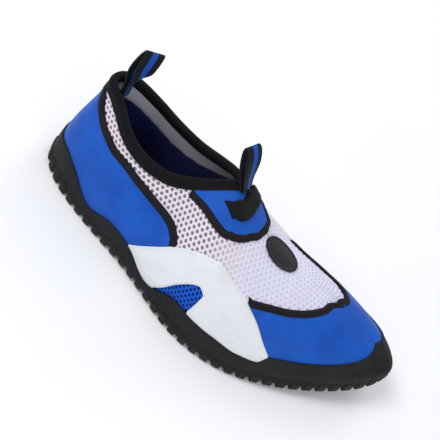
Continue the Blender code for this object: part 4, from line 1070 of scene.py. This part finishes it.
def side_pieces(side, word):
    edge = outline(side)
    top, front = seam(WINDOW_TOP[side], side), seam(WINDOW_FRONT[side], side)
    begin, corner, foot = top[0][0], top[0][-1], front[0][0]

    def above(k):
        return on(edge, k)

    def lip(k):
        return lip_share(k, side, -UNDER)

    middle = float((top[1][-1] - above(corner)) / (lip(corner) - above(corner)))

    def between(k):
        return above(k) + (lip(k) - above(k)) * middle

    def first(k):
        cut = np.where(k < corner - 1e-6, np.minimum(on(top, k), lip(k)), between(k))
        return np.where(k <= begin, lip(k), cut)

    def second(k):
        return np.where(k < corner - 1e-6, np.minimum(on(front, k), lip(k)), between(k))

    extra = (begin, corner, foot, 7.15, 10.38)
    whole = stations(edge[0][0], edge[0][-1], 0.028, extra)
    fore = whole[whole >= foot - 1e-6]
    grids = [strip(side, whole, above, first, 10), strip(side, fore, second, lip, 8)]
    settle(sheet("side_overlay_" + word, grids, OVERLAY_OFF, 0.0010, WHITE), "white_synthetic",
           "side_overlay_" + word)

    def wide_top(k):
        return on(top, k) - step_down(k, side, UNDER)

    def wide_front(k):
        edge_share = np.where(k < foot, lip(k), on(front, k) + step_down(k, side, UNDER * 2))
        return np.minimum(lip(k), edge_share)

    ks = stations(begin - 0.02, corner + 0.10, 0.03)
    ks = ks[wide_front(ks) - wide_top(ks) > 0.008]
    ground = sheet("side_window_ground_" + word, [strip(side, ks, wide_top, wide_front, 6)], 0.0002, 0.0003,
                   WINDOW_GROUND, low=0.0)
    settle(ground, "blue_mesh")

    def covered(k, w):
        return (w * side > wide_top(k)) & (w * side < wide_front(k)) & (k > ks[0]) & (k < ks[-1])

    u, v = to_flat(ks, side * (wide_top(ks) + wide_front(ks)) / 2)
    lattice = cell_mesh("side_window_" + word, (u.min() - 0.03, u.max() + 0.03),
                        (v.min() - 0.04, v.max() + 0.04), WINDOW_PITCH, covered, off=0.0008, hole=0.58,
                        depth=0.0006, material=WINDOW_YARN)
    settle(lattice, "blue_mesh", "side_window_" + word)
    shares = on(edge, whole) + step_down(whole, side, 0.0019)
    keep = (whole > edge[0][0] + 0.12) & (whole < edge[0][-1] - 0.10)
    stitch_row("overlay_stitches_" + word, whole[keep], side * shares[keep], OVERLAY_OFF + STITCH_LIFT,
               WHITE_THREAD, "white_synthetic")
    keep = (whole > begin + 0.16) & (whole < corner + 0.02)
    shares = on(top, whole) - step_down(whole, side, 0.0017)
    stitch_row("window_stitches_" + word, whole[keep], side * shares[keep], OVERLAY_OFF + STITCH_LIFT,
               WHITE_THREAD, "white_synthetic")


MESH_PITCH, WINDOW_PITCH = 0.0040, 0.0036
AIR_MESH = air_mesh_tree()


def cell_mesh(name, span_u, span_v, pitch, covered, off, hole, depth, material):
    """Knitted lattice of six-sided cells over a stretch of the flat cloth."""
    across, down = pitch, pitch * math.sqrt(3) / 2
    centres = []
    for j in range(int(span_v[0] / down) - 1, int(span_v[1] / down) + 2):
        for i in range(int(span_u[0] / across) - 1, int(span_u[1] / across) + 2):
            centres.append(((i + 0.5 * (j % 2)) * across, j * down))
    centres = np.array(centres)
    angles = math.pi / 6 + np.arange(6) * math.pi / 3
    ring = np.stack([np.cos(angles), np.sin(angles)], axis=1) * pitch / math.sqrt(3)
    corners = centres[:, None, :] + ring[None]
    k, w, good = from_flat(corners[..., 0].ravel(), corners[..., 1].ravel())
    kc, wc, _ = from_flat(centres[:, 0].copy(), centres[:, 1].copy())
    keep = good.reshape(-1, 6).all(axis=1) & covered(kc, wc)
    picked = corners[keep].reshape(-1, 2)
    k, w = k.reshape(-1, 6)[keep].ravel(), w.reshape(-1, 6)[keep].ravel()
    keys = np.round(picked / 0.00002).astype(np.int64)
    _, first, back = np.unique(keys, axis=0, return_index=True, return_inverse=True)
    back = back.ravel()
    points = place(k[first], w[first], off)
    cloth = np.c_[picked[first] * 1000, np.zeros(len(first))]
    front = ease((k[first] - 9.3) / 1.5)
    faces = [tuple(int(n) for n in back[i * 6:i * 6 + 6]) for i in range(int(keep.sum()))]
    mesh = plain_mesh(name, points, faces)
    add_facts(mesh, {"cloth": cloth, "front": front})
    bm = bmesh.new()
    bm.from_mesh(mesh)
    outside = normals(k[first], w[first])
    bm.faces.ensure_lookup_table()
    for face in bm.faces:
        face.normal_update()
        if face.normal.dot(Vector(outside[face.verts[0].index])) < 0:
            face.normal_flip()
    bm.to_mesh(mesh)
    bm.free()
    return grow(in_scene(name, mesh), AIR_MESH, name, Hole=hole, Depth=depth, Round=1, Material=material)


def toe_pieces():
    fore, back = over_ridge(TOE_TRIM, -TRIM_WIDTH / 2), over_ridge(TOE_TRIM, TRIM_WIDTH / 2)
    middle = over_ridge(TOE_TRIM, 0.0)
    panels, trims = [], []
    turns = (back[1][0][-1], fore[1][0][-1], middle[1][0][-1])
    for side, word in ((-1, "lateral"), (1, "medial")):
        edge = outline(side)

        def bound(k):
            return np.where(k < edge[0][-1] + 0.02, on(edge, k) + step_down(k, side, UNDER), 9.0)

        def trim_low(k):
            return np.minimum(on(fore[side], k), bound(k))

        def panel_low(k):
            return np.minimum(lip_share(k, side, -UNDER), bound(k))

        ks = stations(TOE_TRIM_START, turns[1], 0.028, turns)
        ks = ks[(trim_low(ks) - on(back[side], ks) > 0.004) | (ks > 13)]
        trims.append(strip(side, ks, lambda k: on(back[side], k), trim_low, 8))
        ks = stations(TOE_TRIM_START, TOE, 0.028, turns)
        ks = ks[panel_low(ks) - on(middle[side], ks) > 0.004]
        panels.append(strip(side, ks, lambda k: on(middle[side], k), panel_low, 14))
        for part, curve, way in (("rear", back, 1), ("front", fore, -1)):
            k = stations(TOE_TRIM_START + 0.35, curve[side][0][-1] - 0.06, 0.04)
            w = side * np.maximum(on(curve[side], k) + way * step_down(k, side, 0.0011), 1e-4)
            name = f"toe_trim_stitches_{part}_{word}"
            stitch_row(name, k, w, STITCH_OFF, BLACK_THREAD, "black_trim")
    settle(sheet("toe_cap", panels, PANEL_TOP, 0.0009, STRETCH), "blue_stretch_fabric", "toe_cap")
    settle(sheet("toe_trim", trims, TRIM_TOP, 0.0024, TRIMS), "black_trim", "toe_trim")


def tongue_pieces():
    outer, inner = over_ridge(TONGUE_TRIM, -TRIM_WIDTH / 2), over_ridge(TONGUE_TRIM, TRIM_WIDTH / 2)
    middle = over_ridge(TONGUE_TRIM, 0.0)
    turns = (middle[1][0][-1], inner[1][0][-1])
    panels, trims = [], []
    for side in (-1, 1):
        k = np.linspace(6.4, 8.8, 25)
        rear_k, rear_w = beside(k, np.full_like(k, side * 1e-3), side * (BINDING_WIDTH - UNDER))
        keep = (rear_w * side > 0) & (rear_k < TONGUE_REAR - 0.25)
        rear = (np.r_[rear_k[keep], TONGUE_REAR - 0.2], np.r_[np.abs(rear_w[keep]), 0.0])

        def free(k):
            return on(rear, k)

        def trim_top(k):
            return np.maximum(free(k), np.where(k > inner[side][0][0], on(inner[side], k), 0.0))

        ks = stations(6.9, outer[side][0][-1], 0.028, turns)
        ks = ks[(on(outer[side], ks) - trim_top(ks) > 0.006) | (ks > 10)]
        trims.append(strip(side, ks, trim_top, lambda k: on(outer[side], k), 8))
        ks = stations(7.0, turns[0], 0.028)
        ks = ks[(on(middle[side], ks) - free(ks) > 0.006) | (ks > 10)]
        panels.append(strip(side, ks, free, lambda k: on(middle[side], k), 12))
    settle(sheet("tongue_panel", panels, PANEL_TOP, 0.0009, STRETCH), "blue_stretch_fabric", "tongue_panel")
    settle(sheet("tongue_trim", trims, TRIM_TOP, 0.0024, TRIMS), "black_trim", "tongue_trim")


def tongue_cover():
    over = GAP * 1.8 + BINDING + GAP
    across, rows = 61, np.linspace(0, 1, 17)
    rear = blend(PATCH_REAR, np.linspace(0, len(PATCH_REAR) - 1, across))
    front = blend(PATCH_FRONT, np.linspace(0, len(PATCH_FRONT) - 1, across))
    grid = rear[:, None, :] + (front - rear)[:, None, :] * rows[None, :, None]
    w = np.where(np.abs(grid[..., 1]) < 1e-7, 1e-7, grid[..., 1])
    piece = sheet("tongue_patch", [(grid[..., 0], w)], over + PATCH * 0.86, 0.0026, PATCH_TAPE, low=0.0006,
                  foot=0.0014, power=2.4)
    settle(piece, "black_tape", "tongue_patch")


def upper_pieces():
    """White lattice on a darker ground, and the lining behind them."""
    ks = np.linspace(0, TOE, 321)
    bound = {}
    for side in (-1, 1):
        parts = [seam(HEEL_TRIM_LINE, side), seam(OVERLAY_TOP[side], side), seam(TOE_TRIM[side], side)]
        parts[0] = (parts[0][0][parts[0][0] < 7.0], parts[0][1][parts[0][0] < 7.0])
        parts[2] = (parts[2][0][parts[2][0] > 10.6], parts[2][1][parts[2][0] > 10.6])
        k = np.concatenate([p[0] for p in parts])
        w = np.concatenate([p[1] for p in parts])
        order = np.argsort(k)
        bound[side] = (k[order], w[order])
    tongue = over_ridge(TONGUE_TRIM, TRIM_WIDTH / 2 + 0.003)

    def covered(k, w):
        limit = np.where(w < 0, on(bound[-1], k), on(bound[1], k))
        hidden = np.where(w < 0, on(tongue[-1], k), on(tongue[1], k))
        hidden = np.where((k > 7.9) & (k < tongue[1][0][-1]), hidden, 0.0)
        return (np.abs(w) < limit + 0.02) & (np.abs(w) >= hidden) & (k < 14.6)

    lattice = cell_mesh("air_mesh", (0, FLAT_RUN[-1]), (-0.12, 0.12), MESH_PITCH, covered, off=0.0003,
                        hole=0.63, depth=0.0008, material=YARN)
    settle(lattice, "mesh_cloth", "upper")
    station, share = np.meshgrid(ks, np.linspace(1e-9, 1, 61), indexing="ij")
    grids = [(station, -share), (station, share)]
    for name, high, low, material in (("mesh_ground", -0.0003, -0.0009, GROUND),
                                      ("lining", -0.0009, -UPPER_WALL, LINING)):
        piece = sheet(name, grids, high, 0.0001, material, low=low, foot=high)
        add_place_facts(piece)
        settle(piece, "mesh_cloth")


def add_place_facts(piece):
    """Depth below the collar, and how far forward, from each point's flat place."""
    count = len(piece.data.vertices)
    cloth = np.zeros(count * 3, np.float32)
    piece.data.attributes["cloth"].data.foreach_get("vector", cloth)
    cloth = cloth.reshape(-1, 3).astype(float) / 1000
    row = np.interp(cloth[:, 0], FLAT_RUN, np.arange(MAP_ROWS))
    top = np.where(cloth[:, 1] < 0, np.interp(row, np.arange(MAP_ROWS), FLAT[-1]["top"]),
                   np.interp(row, np.arange(MAP_ROWS), FLAT[1]["top"]))
    k = row / (MAP_ROWS - 1) * TOE
    down = (np.abs(cloth[:, 1]) - top) * 1000 + 40 * ease((k - 8.3) / 1.2)
    add_facts(piece.data, {"down": down, "front": ease((k - 9.3) / 1.5)})


def badge():
    spokes = 96
    shares = np.r_[0.0, np.linspace(0.06, 0.80, 9), 0.83, 0.86, 0.89, 0.93, 0.96, 0.985, 1.0, 1.0]
    heights = np.r_[np.full(10, 0.62), 0.64, 0.80, 0.96, 1.0, 0.97, 0.84, 0.55, 0.0]
    centre = np.array(BADGE_AT, float)
    k0, w0 = centre[:1], centre[1:]
    along = unit(chart(k0 + 0.1, w0) - chart(k0 - 0.1, w0))[0]
    across = np.cross(normals(k0, w0)[0], along)
    angles = np.arange(spokes) * 2 * math.pi / spokes
    disc = np.outer(np.cos(angles), along * BADGE_LENGTH / 2) \
        + np.outer(np.sin(angles), across * BADGE_WIDTH / 2)
    goal = chart(k0, w0)[0] + shares[:, None, None] * disc
    tree = wall_tree(10.0, 13.6)
    points = []
    for height, ring in zip(heights, goal):
        for spot in ring:
            near, normal, _, _ = tree.find_nearest(Vector(spot))
            normal = normal if normal.z > 0 else -normal
            points.append(near + normal * (0.0004 + BADGE_THICK * height))
    points = np.array([tuple(p) for p in points])
    points[:, 0] -= HEEL_SPOT * LENGTH
    faces = tube_faces(len(shares), spokes)
    faces.append(tuple((len(shares) - 1) * spokes + j for j in range(spokes)))
    settle(mesh_object("badge", points, faces, BADGE), "badge_rubber", "badge")


def wall_tree(start=0.0, end=TOE, parts=60):
    """Search tree over both sides of the wall, heel at x = 0."""
    ks = np.linspace(start, end, int((end - start) / 0.08) + 2)
    points, faces = [], []
    for side in (-1, 1):
        t = np.linspace(0, 1, parts)
        k, t = np.meshgrid(ks, t, indexing="ij")
        base = len(points)
        points += [tuple(p) for p in wall_point(k, np.full_like(k, side), t).reshape(-1, 3)]
        part = grid_faces(len(ks), parts, base)
        faces += part if side < 0 else [tuple(reversed(f)) for f in part]
    return BVHTree.FromPolygons(points, faces)


def smooth_ring(values, rounds):
    for _ in range(rounds):
        values = (np.roll(values, 1, axis=0) + values * 2 + np.roll(values, -1, axis=0)) / 4
    return values


def binding():
    tree = wall_tree(0.0, 15.0)
    half = np.linspace(0, THROAT, 201)
    k = np.r_[half, half[-2:0:-1]]
    side = np.r_[np.full(201, -1.0), np.full(199, 1.0)]
    w = side * 1e-9
    edges = chart(k, w)
    normal = unit(smooth_ring(normals(k, w), 10))
    run = unit(np.roll(edges, -1, axis=0) - np.roll(edges, 1, axis=0))
    up = unit(np.cross(normal, run))
    loose = GAP * 1.8
    deep = UPPER_WALL + loose

    def under(distance):
        spots, faces = [], []
        for spot, n in zip(edges - up * distance, normal):
            near, face, _, _ = tree.find_nearest(Vector(spot))
            spots.append(tuple(near))
            faces.append(tuple(face if face.dot(Vector(n)) > 0 else -face))
        return np.array(spots), unit(smooth_ring(np.array(faces), 3))

    low, low_n = under(BINDING_WIDTH)
    half_spot, half_n = under(BINDING_WIDTH * 0.5)
    inner, inner_n = under(BINDING_WIDTH * 0.8)
    skin = np.array([
        low + low_n * 0.0003,
        low + low_n * (loose + BINDING * 0.45),
        low + low_n * (loose + BINDING * 0.8) + up * 0.0008,
        half_spot + half_n * (loose + BINDING),
        edges + normal * (loose + BINDING) + up * GAP,
        edges - normal * (UPPER_WALL * 0.5) + up * (GAP + BINDING * 1.3),
        edges - normal * (deep + BINDING) + up * GAP,
        inner - inner_n * (deep + BINDING * 0.9) + up * 0.0008,
        inner - inner_n * (deep + BINDING * 0.4),
        inner - inner_n * (deep - 0.0002),
    ])
    count, girth = len(k), 37
    fine = blend(skin.reshape(len(skin), -1), np.linspace(0, len(skin) - 1, girth)).reshape(girth, count, 3)
    fine[..., 0] -= HEEL_SPOT * LENGTH
    points = fine.transpose(1, 0, 2).reshape(-1, 3)
    faces = grid_faces(count, girth, closed=True)
    starts = np.arange(count) * girth
    for a, b in zip(starts.tolist(), np.roll(starts, -1).tolist()):
        faces.append((a + girth - 1, b + girth - 1, b, a))
    run_mm = np.r_[0, np.cumsum(np.linalg.norm(np.diff(edges, axis=0), axis=1))] * 1000
    width = np.linspace(0, 17, girth)
    cloth = np.stack(np.broadcast_arrays(run_mm[:, None], width[None, :], 0.0), axis=-1).reshape(-1, 3)
    piece = mesh_object("collar_binding", points, faces, TAPE, {"cloth": cloth})
    settle(piece, "black_tape", "collar_binding")
    line = low + low_n * (loose + BINDING * 0.9) + up * 0.0015
    line[:, 0] -= HEEL_SPOT * LENGTH
    thread_row("binding_stitches", line, BLACK_THREAD, "black_tape", 2.4, 1.6, 0.16)


def strap(name, path, width, thick, pivot, twist, reach, stripe_at, node):
    """Band of webbing along a path of (x, z) places; above its pivot it turns and leans forward."""
    path = np.asarray(path)
    run = unit(np.gradient(path, axis=0))
    rise = np.maximum(0.0, (path[:, 1] - pivot[2]) / (path[:, 1].max() - pivot[2]))
    turn = twist * ease(rise / 0.75)
    fore = xyz(np.cos(turn), -np.sin(turn), 0.0)
    wide = xyz(np.sin(turn), np.cos(turn), 0.0)
    out = fore * run[:, 1:2] + xyz(0.0, 0.0, -run[:, 0])
    centre = xyz(pivot[0] + reach * rise, pivot[1], path[:, 1]) + fore * (path[:, 0] - pivot[0])[:, None]
    profile = []
    for a, b in ((1, 1), (-1, 1), (-1, -1), (1, -1)):
        for angle in (0.0, 0.5, 1.0) if a * b > 0 else (1.0, 0.5, 0.0):
            bend = angle * math.pi / 2
            profile.append((a * (width / 2 - thick * 0.35 * (1 - math.cos(bend))),
                            b * thick * (0.5 - 0.35 * (1 - math.sin(bend)))))
    inner = []
    for n, (a, b) in enumerate(profile):
        c, d = profile[(n + 1) % len(profile)]
        inner.append((a, b))
        if abs(a - c) > width * 0.5:
            inner += [(a + (c - a) * f, b + (d - b) * f) for f in np.linspace(0.1, 0.9, 9)]
    profile = np.array(inner)
    section = wide[:, None, :] * profile[None, :, :1] + out[:, None, :] * profile[None, :, 1:]
    points = centre[:, None, :] + section
    points[..., 0] -= HEEL_SPOT * LENGTH
    rows, columns = points.shape[:2]
    length = np.r_[0, np.cumsum(np.linalg.norm(np.diff(centre, axis=0), axis=1))] * 1000
    faces = tube_faces(rows, columns)
    faces += [tuple(range(columns)), tuple((rows - 1) * columns + j for j in range(columns))]
    cloth = np.stack(np.broadcast_arrays(length[:, None], profile[None, :, 0] * 1000, 0.0), axis=-1)
    stripe = np.abs(profile[:, 0] * 1000 - stripe_at)
    piece = mesh_object(name, points.reshape(-1, 3), faces, WEBBING,
                        {"cloth": cloth.reshape(-1, 3), "stripe": np.tile(stripe, rows)})
    settle(piece, "webbing", node)


def pull_loops():
    over = GAP * 1.8 + BINDING + GAP
    k, w = np.array(LOOP_FOOT[:1], float), np.array(LOOP_FOOT[1:], float)
    foot = (chart(k, w) + normals(k, w) * (over + 0.0017))[0]
    shape = blend(LOOP_SHAPE, np.linspace(0, len(LOOP_SHAPE) - 1, 97))
    lean = 0.46
    tall = (1 - lean * lean) ** 0.5
    path = np.stack([foot[0] - lean * shape[:, 0] * FRONT_LOOP + tall * shape[:, 1] * 0.0055,
                     foot[2] + tall * shape[:, 0] * FRONT_LOOP + lean * shape[:, 1] * 0.0055], axis=1)
    strap("tongue_loop", path, WEB_WIDTH, WEB_THICK, foot, FRONT_TWIST, 0.0, 0.6, "tongue_loop")
    k, w = np.array([0.0]), np.array([-1e-9])
    edge, normal = chart(k, w)[0], normals(k, w)[0]
    near = (edge - normal * (UPPER_WALL + BINDING + 2 * GAP + WEB_THICK / 2 + HEEL_CLEAR))[0]
    far, z, tall = near + WEB_THICK + GAP, edge[2], HEEL_LOOP
    half = ((0.0, -0.010), (0.0, -0.002), (0.0004, 0.006), (0.0026, tall * 0.45), (0.0022, tall * 0.80))
    rows = [(near - x, z + rise) for x, rise in half] + [((near + far) / 2, z + tall)]
    rows += [(far + x, z + rise) for x, rise in half[::-1]]
    path = blend(rows, np.linspace(0, len(rows) - 1, 121))
    pivot = ((near + far) / 2, edge[1], edge[2] + 0.004)
    strap("heel_loop", path, WEB_WIDTH, WEB_THICK, pivot, HEEL_TWIST, HEEL_REACH, 0.0, "heel_loop")


def ring_length(count):
    """Even places round the edge of the tread: ring station, and length along it."""
    dense = np.linspace(0, 2 * TOE, 3201)
    side = np.where(dense <= TOE, -1.0, 1.0)
    points = edge_point(np.where(dense <= TOE, dense, 2 * TOE - dense), side)[0]
    length = np.r_[0, np.cumsum(np.linalg.norm(np.diff(points, axis=0), axis=1))]
    goal = np.linspace(0, length[-1], count, endpoint=False)
    return np.interp(goal, length, dense), goal, length[-1]


def outsole():
    """Cup of the sole: lugs round its edge, side wall with the bumper's step, rim and inner wall."""
    ring, run, whole = ring_length(1700)
    k, side = np.where(ring <= TOE, ring, 2 * TOE - ring), np.where(ring <= TOE, -1.0, 1.0)
    lugs = round(whole / LUG_PITCH)
    phase = np.abs(((run / whole * lugs) % 1.0) - 0.5) * whole / lugs
    lug = 1 - ease((phase - (LUG_LENGTH / 2 - 0.0003)) / 0.0007)
    edge, out = edge_point(k, side)
    base, height = tread_height(edge[:, 0]), side_height(k, side)
    groove = base + LUG_DEPTH
    t_top = 1 - np.where(side < 0, *[np.interp(k, LIP_STATIONS, LIP_SHARE[s]) for s in (-1, 1)])

    def off_wall(share, off):
        w = side * (1 - t_top * share)
        return chart(k, w) + normals(k, w) * off

    rim = off_wall(0.94, GAP + SOLE_WALL)
    foot = edge - out * 0.0004
    foot[:, 2] = groove + 0.0020
    middle = foot * 0.45 + rim * 0.55 + out * 0.0006
    least, normal = off_wall(0.5, GAP + SOLE_WALL), normals(k, side * (1 - t_top * 0.5))
    level = normal * np.array((1.0, 1.0, 0.0))
    push = np.maximum(0.0, ((least - middle) * normal).sum(1)) / (level * level).sum(1)
    middle += level * push[:, None]

    def low(a, z):
        spot = edge + out * np.reshape(a, (-1, 1))
        spot[:, 2] = z
        return spot

    rib_top = groove + 0.26 * height
    bottom = base * lug + groove * (1 - lug)
    rows = [low(-0.0070, groove), low(-0.0068, bottom + 0.0002 * lug)]
    rows += [low(a, bottom) for a in (-0.0060, -0.0035, -0.0012)]
    rows += [low(lug * 0.0002 - (1 - lug) * 0.0010, bottom + 0.0004),
             low(lug * 0.0009 - (1 - lug) * 0.0006, bottom + 0.0016)]
    wall = blend(np.array([foot, middle, rim]).reshape(3, -1), np.linspace(0, 2, 15)).reshape(15, -1, 3)
    for n, spot in enumerate(wall):
        rise = (spot[:, 2] - rib_top) / 0.0018
        swell = lug * (1 - ease(rise)) * 0.0013 * (1 - ease((n - 9) / 5))
        rows.append(spot + out * swell[:, None])
    rows += [off_wall(0.985, GAP + SOLE_WALL * 0.90), off_wall(1.0, GAP + SOLE_WALL * 0.55)]
    rows += [off_wall(1.0, GAP + 0.0001)] + [off_wall(share, GAP) for share in (0.75, 0.5, 0.25)]
    inner = off_wall(0.0, GAP)
    inner[:, 2] = tread_height(inner[:, 0]) + SOLE_FLOOR
    rows.append(inner)
    rows = np.array(rows)
    count, levels = len(k), len(rows)
    points = rows.transpose(1, 0, 2).reshape(-1, 3)
    faces = grid_faces(count, levels, closed=True)
    rise = points[:, 2] - np.repeat(base, levels)
    facts = np.stack([np.repeat(run, levels), rise, 0 * rise], axis=1) * 1000
    points = list(map(tuple, points))
    extra = []
    for level, lift in ((0, LUG_DEPTH), (levels - 1, SOLE_FLOOR)):
        middles = add_floor(points, faces, k, side, level, levels, lift)
        extra += [(0.0, lift * 1000, 0.0)] * middles
    points = np.array(points)
    points[:, 0] -= HEEL_SPOT * LENGTH
    facts = np.concatenate([facts, np.array(extra)])
    settle(mesh_object("outsole", points, faces, RUBBER, {"ring": facts}), "outsole_rubber", "outsole")
    tread_blocks(edge)


def add_floor(points, faces, k, side, level, levels, lift):
    """Closes the sole across at a level: a spine of middle points and quads to both edges."""
    lateral = [i for i in range(len(k)) if side[i] < 0]
    medial = [i for i in range(len(k)) if side[i] > 0][::-1]
    start = len(points)
    spine = np.linspace(0.02, 0.985, 60)
    xs = np.array([points[i * levels + level][0] for i in lateral])
    xm = np.array([points[i * levels + level][0] for i in medial])
    ys = np.array([points[i * levels + level][1] for i in lateral])
    ym = np.array([points[i * levels + level][1] for i in medial])
    x = xs.min() + (xs.max() - xs.min()) * spine
    y = (np.interp(x, xs, ys) + np.interp(x, xm, ym)) / 2
    for a, b in zip(x, y):
        points.append((a, b, float(tread_height(a) + lift)))
    for ids, axis in ((lateral, xs), (medial, xm)):
        nearest = np.clip(np.searchsorted((x[:-1] + x[1:]) / 2, axis), 0, len(x) - 1)
        for n in range(len(ids) - 1):
            a, b = ids[n] * levels + level, ids[n + 1] * levels + level
            p, q = start + int(nearest[n]), start + int(nearest[n + 1])
            faces.append((a, b, p))
            step = 1 if q > p else -1
            while p != q:
                faces.append((b, p + step, p))
                p += step
    for a, b, p in ((lateral[0], medial[0], 0), (medial[-1], lateral[-1], len(x) - 1)):
        faces.append((a * levels + level, b * levels + level, start + p))
    return len(x)


def tread_blocks(edge):
    """Blocks inside the ring of lugs, in staggered rows."""
    half = BLOCK_SIZE / 2
    ring = edge[::8, :2]
    spots = []
    for i in range(-2, int(LENGTH / BLOCK_PITCH)):
        for j in range(-4, 5):
            x, y = LENGTH * HEEL_SPOT + i * BLOCK_PITCH, (j + 0.5 * (i % 2)) * BLOCK_PITCH
            corners = [np.array((x + a * half, y + b * half)) for a in (-1, 1) for b in (-1, 1)]
            if all(inside(c, ring) and np.hypot(*(ring - c).T).min() >= EDGE_CLEAR for c in corners):
                spots.append((x - HEEL_SPOT * LENGTH, y, float(tread_height(x))))
    bm = bmesh.new()
    bmesh.ops.create_cube(bm, size=1.0)
    for v in bm.verts:
        v.co = Vector((v.co.x * BLOCK_SIZE, v.co.y * BLOCK_SIZE, (v.co.z + 0.5) * (LUG_DEPTH + 0.0008)))
    bmesh.ops.bevel(bm, geom=bm.edges[:], offset=0.0006, segments=2, profile=0.5, affect="EDGES")
    mesh = bpy.data.meshes.new("block")
    bm.to_mesh(mesh)
    bm.free()
    block = in_scene("block", mesh)
    rows = in_scene("tread_blocks", plain_mesh("tread_blocks", spots))
    piece = grow(rows, block_tree(), "tread_blocks", Block=block, Material=RUBBER)
    bpy.data.objects.remove(block)
    settle(piece, "outsole_rubber")


def inside(spot, ring):
    a, b = ring, np.roll(ring, -1, axis=0)
    cross = (a[:, 1] > spot[1]) != (b[:, 1] > spot[1])
    with np.errstate(divide="ignore", invalid="ignore"):
        x = a[:, 0] + (b[:, 0] - a[:, 0]) * (spot[1] - a[:, 1]) / (b[:, 1] - a[:, 1])
    return bool((cross & (spot[0] < x)).sum() % 2)


def insole():
    k = np.linspace(0.12, TOE - 0.10, 240)
    ends = []
    for side in (-1.0, 1.0):
        s = np.full_like(k, side)
        inward = -(UPPER_WALL + GAP * 2 + 0.0015 * ease(k - TOE + 1.5))
        low = chart(k, s) + normals(k, s) * inward[:, None]
        z = tread_height(low[:, 0]) + SOLE_FLOOR + GAP + INSOLE
        w = s * share_at_height(k, s, z)
        ends.append(chart(k, w) + normals(k, w) * inward[:, None])
    across = np.linspace(0, 1, 33)[None, :, None]
    top = ends[0][:, None, :] * (1 - across) + ends[1][:, None, :] * across
    thin = 1 - 0.12 * np.abs(across[..., 0] * 2 - 1) ** 6
    top[..., 2] = tread_height(top[..., 0]) + SOLE_FLOOR + GAP + INSOLE * thin
    under = top.copy()
    under[..., 2] = tread_height(under[..., 0]) + SOLE_FLOOR + GAP
    rows, columns = top.shape[:2]
    points = np.concatenate([top.reshape(-1, 3), under.reshape(-1, 3)])
    points[:, 0] -= HEEL_SPOT * LENGTH
    faces, n = grid_faces(rows, columns), rows * columns
    faces += [tuple(i + n for i in reversed(f)) for f in grid_faces(rows, columns)]
    ids = np.arange(rows * columns).reshape(rows, columns)
    loop = np.r_[ids[0], ids[1:, -1], ids[-1, -2::-1], ids[-2:0:-1, 0]].tolist()
    faces += [(a, b, b + n, a + n) for a, b in zip(loop, loop[1:] + loop[:1])]
    settle(mesh_object("insole", points, faces, FOAM), "insole_foam", "insole")


outsole()
insole()
upper_pieces()
heel_pieces()
side_pieces(-1, "lateral")
side_pieces(1, "medial")
toe_pieces()
tongue_pieces()
binding()
tongue_cover()
pull_loops()
badge()

# Floor, light and camera.

CAMERA_AT, CAMERA_AIM = Vector((0.0913, -0.3876, 0.4803)), Vector((0.0905, 0.0111, 0.0400))
CAMERA_ROLL, LENS = math.radians(40.27), 68.9
FLOOR = 4.0         # half the floor's width
# Soft lights: place, what they point at, diameter, power.
LIGHTS = {
    "key": ((-0.45, -0.25, 0.95), (0.08, 0.0, 0.03), 0.5, 5.4),
    "fill": ((0.75, -0.75, 0.55), (0.10, 0.0, 0.03), 0.9, 2.0),
    "back": ((0.25, 0.85, 0.60), (0.08, 0.0, 0.05), 0.6, 2.0),
}
SKY, SKY_STRENGTH = (0.93, 0.96, 1.0, 1.0), 0.62


def floor_and_backdrop():
    f = Finish("pale_floor", Roughness=0.75, Specular_IOR_Level=0.2)
    f.feed(Base_Color=f.mix(f.noise(f.spot(), 6.0, 2.0), rgb("F6F6F7"), rgb("FBFBFC")))
    corners = [(-FLOOR, -FLOOR, 0), (FLOOR, -FLOOR, 0), (FLOOR, FLOOR, 0), (-FLOOR, FLOOR, 0)]
    mesh = plain_mesh("floor", corners, [(0, 1, 2, 3)])
    mesh.materials.append(f.material)
    in_scene("floor", mesh)


def soft_light(name, at, aim, size, power):
    light = bpy.data.lights.new(name, "AREA")
    light.shape, light.size, light.energy = "DISK", size, power
    obj = in_scene(name, light)
    obj.location = at
    obj.rotation_euler = (Vector(aim) - Vector(at)).to_track_quat("-Z", "Y").to_euler()


def look():
    world = bpy.data.worlds.new("studio")
    world.use_nodes = True
    sky = world.node_tree.nodes["Background"].inputs
    sky[0].default_value, sky[1].default_value = SKY, SKY_STRENGTH
    bpy.context.scene.world = world
    for name, values in LIGHTS.items():
        soft_light(name, *values)
    camera = bpy.data.cameras.new("camera")
    camera.lens, camera.sensor_width = LENS, 36.0
    forward = (CAMERA_AIM - CAMERA_AT).normalized()
    right = forward.cross(Vector((0, 0, 1))).normalized()
    up = right.cross(forward)
    up = up * math.cos(CAMERA_ROLL) - right * math.sin(CAMERA_ROLL)
    right = forward.cross(up)
    turn = Matrix((right, up, -forward)).transposed().to_4x4()
    obj = in_scene("camera", camera)
    obj.matrix_world = Matrix.Translation(CAMERA_AT) @ turn
    bpy.context.scene.camera = obj
    bpy.context.scene.view_settings.view_transform = "Standard"


floor_and_backdrop()
look()
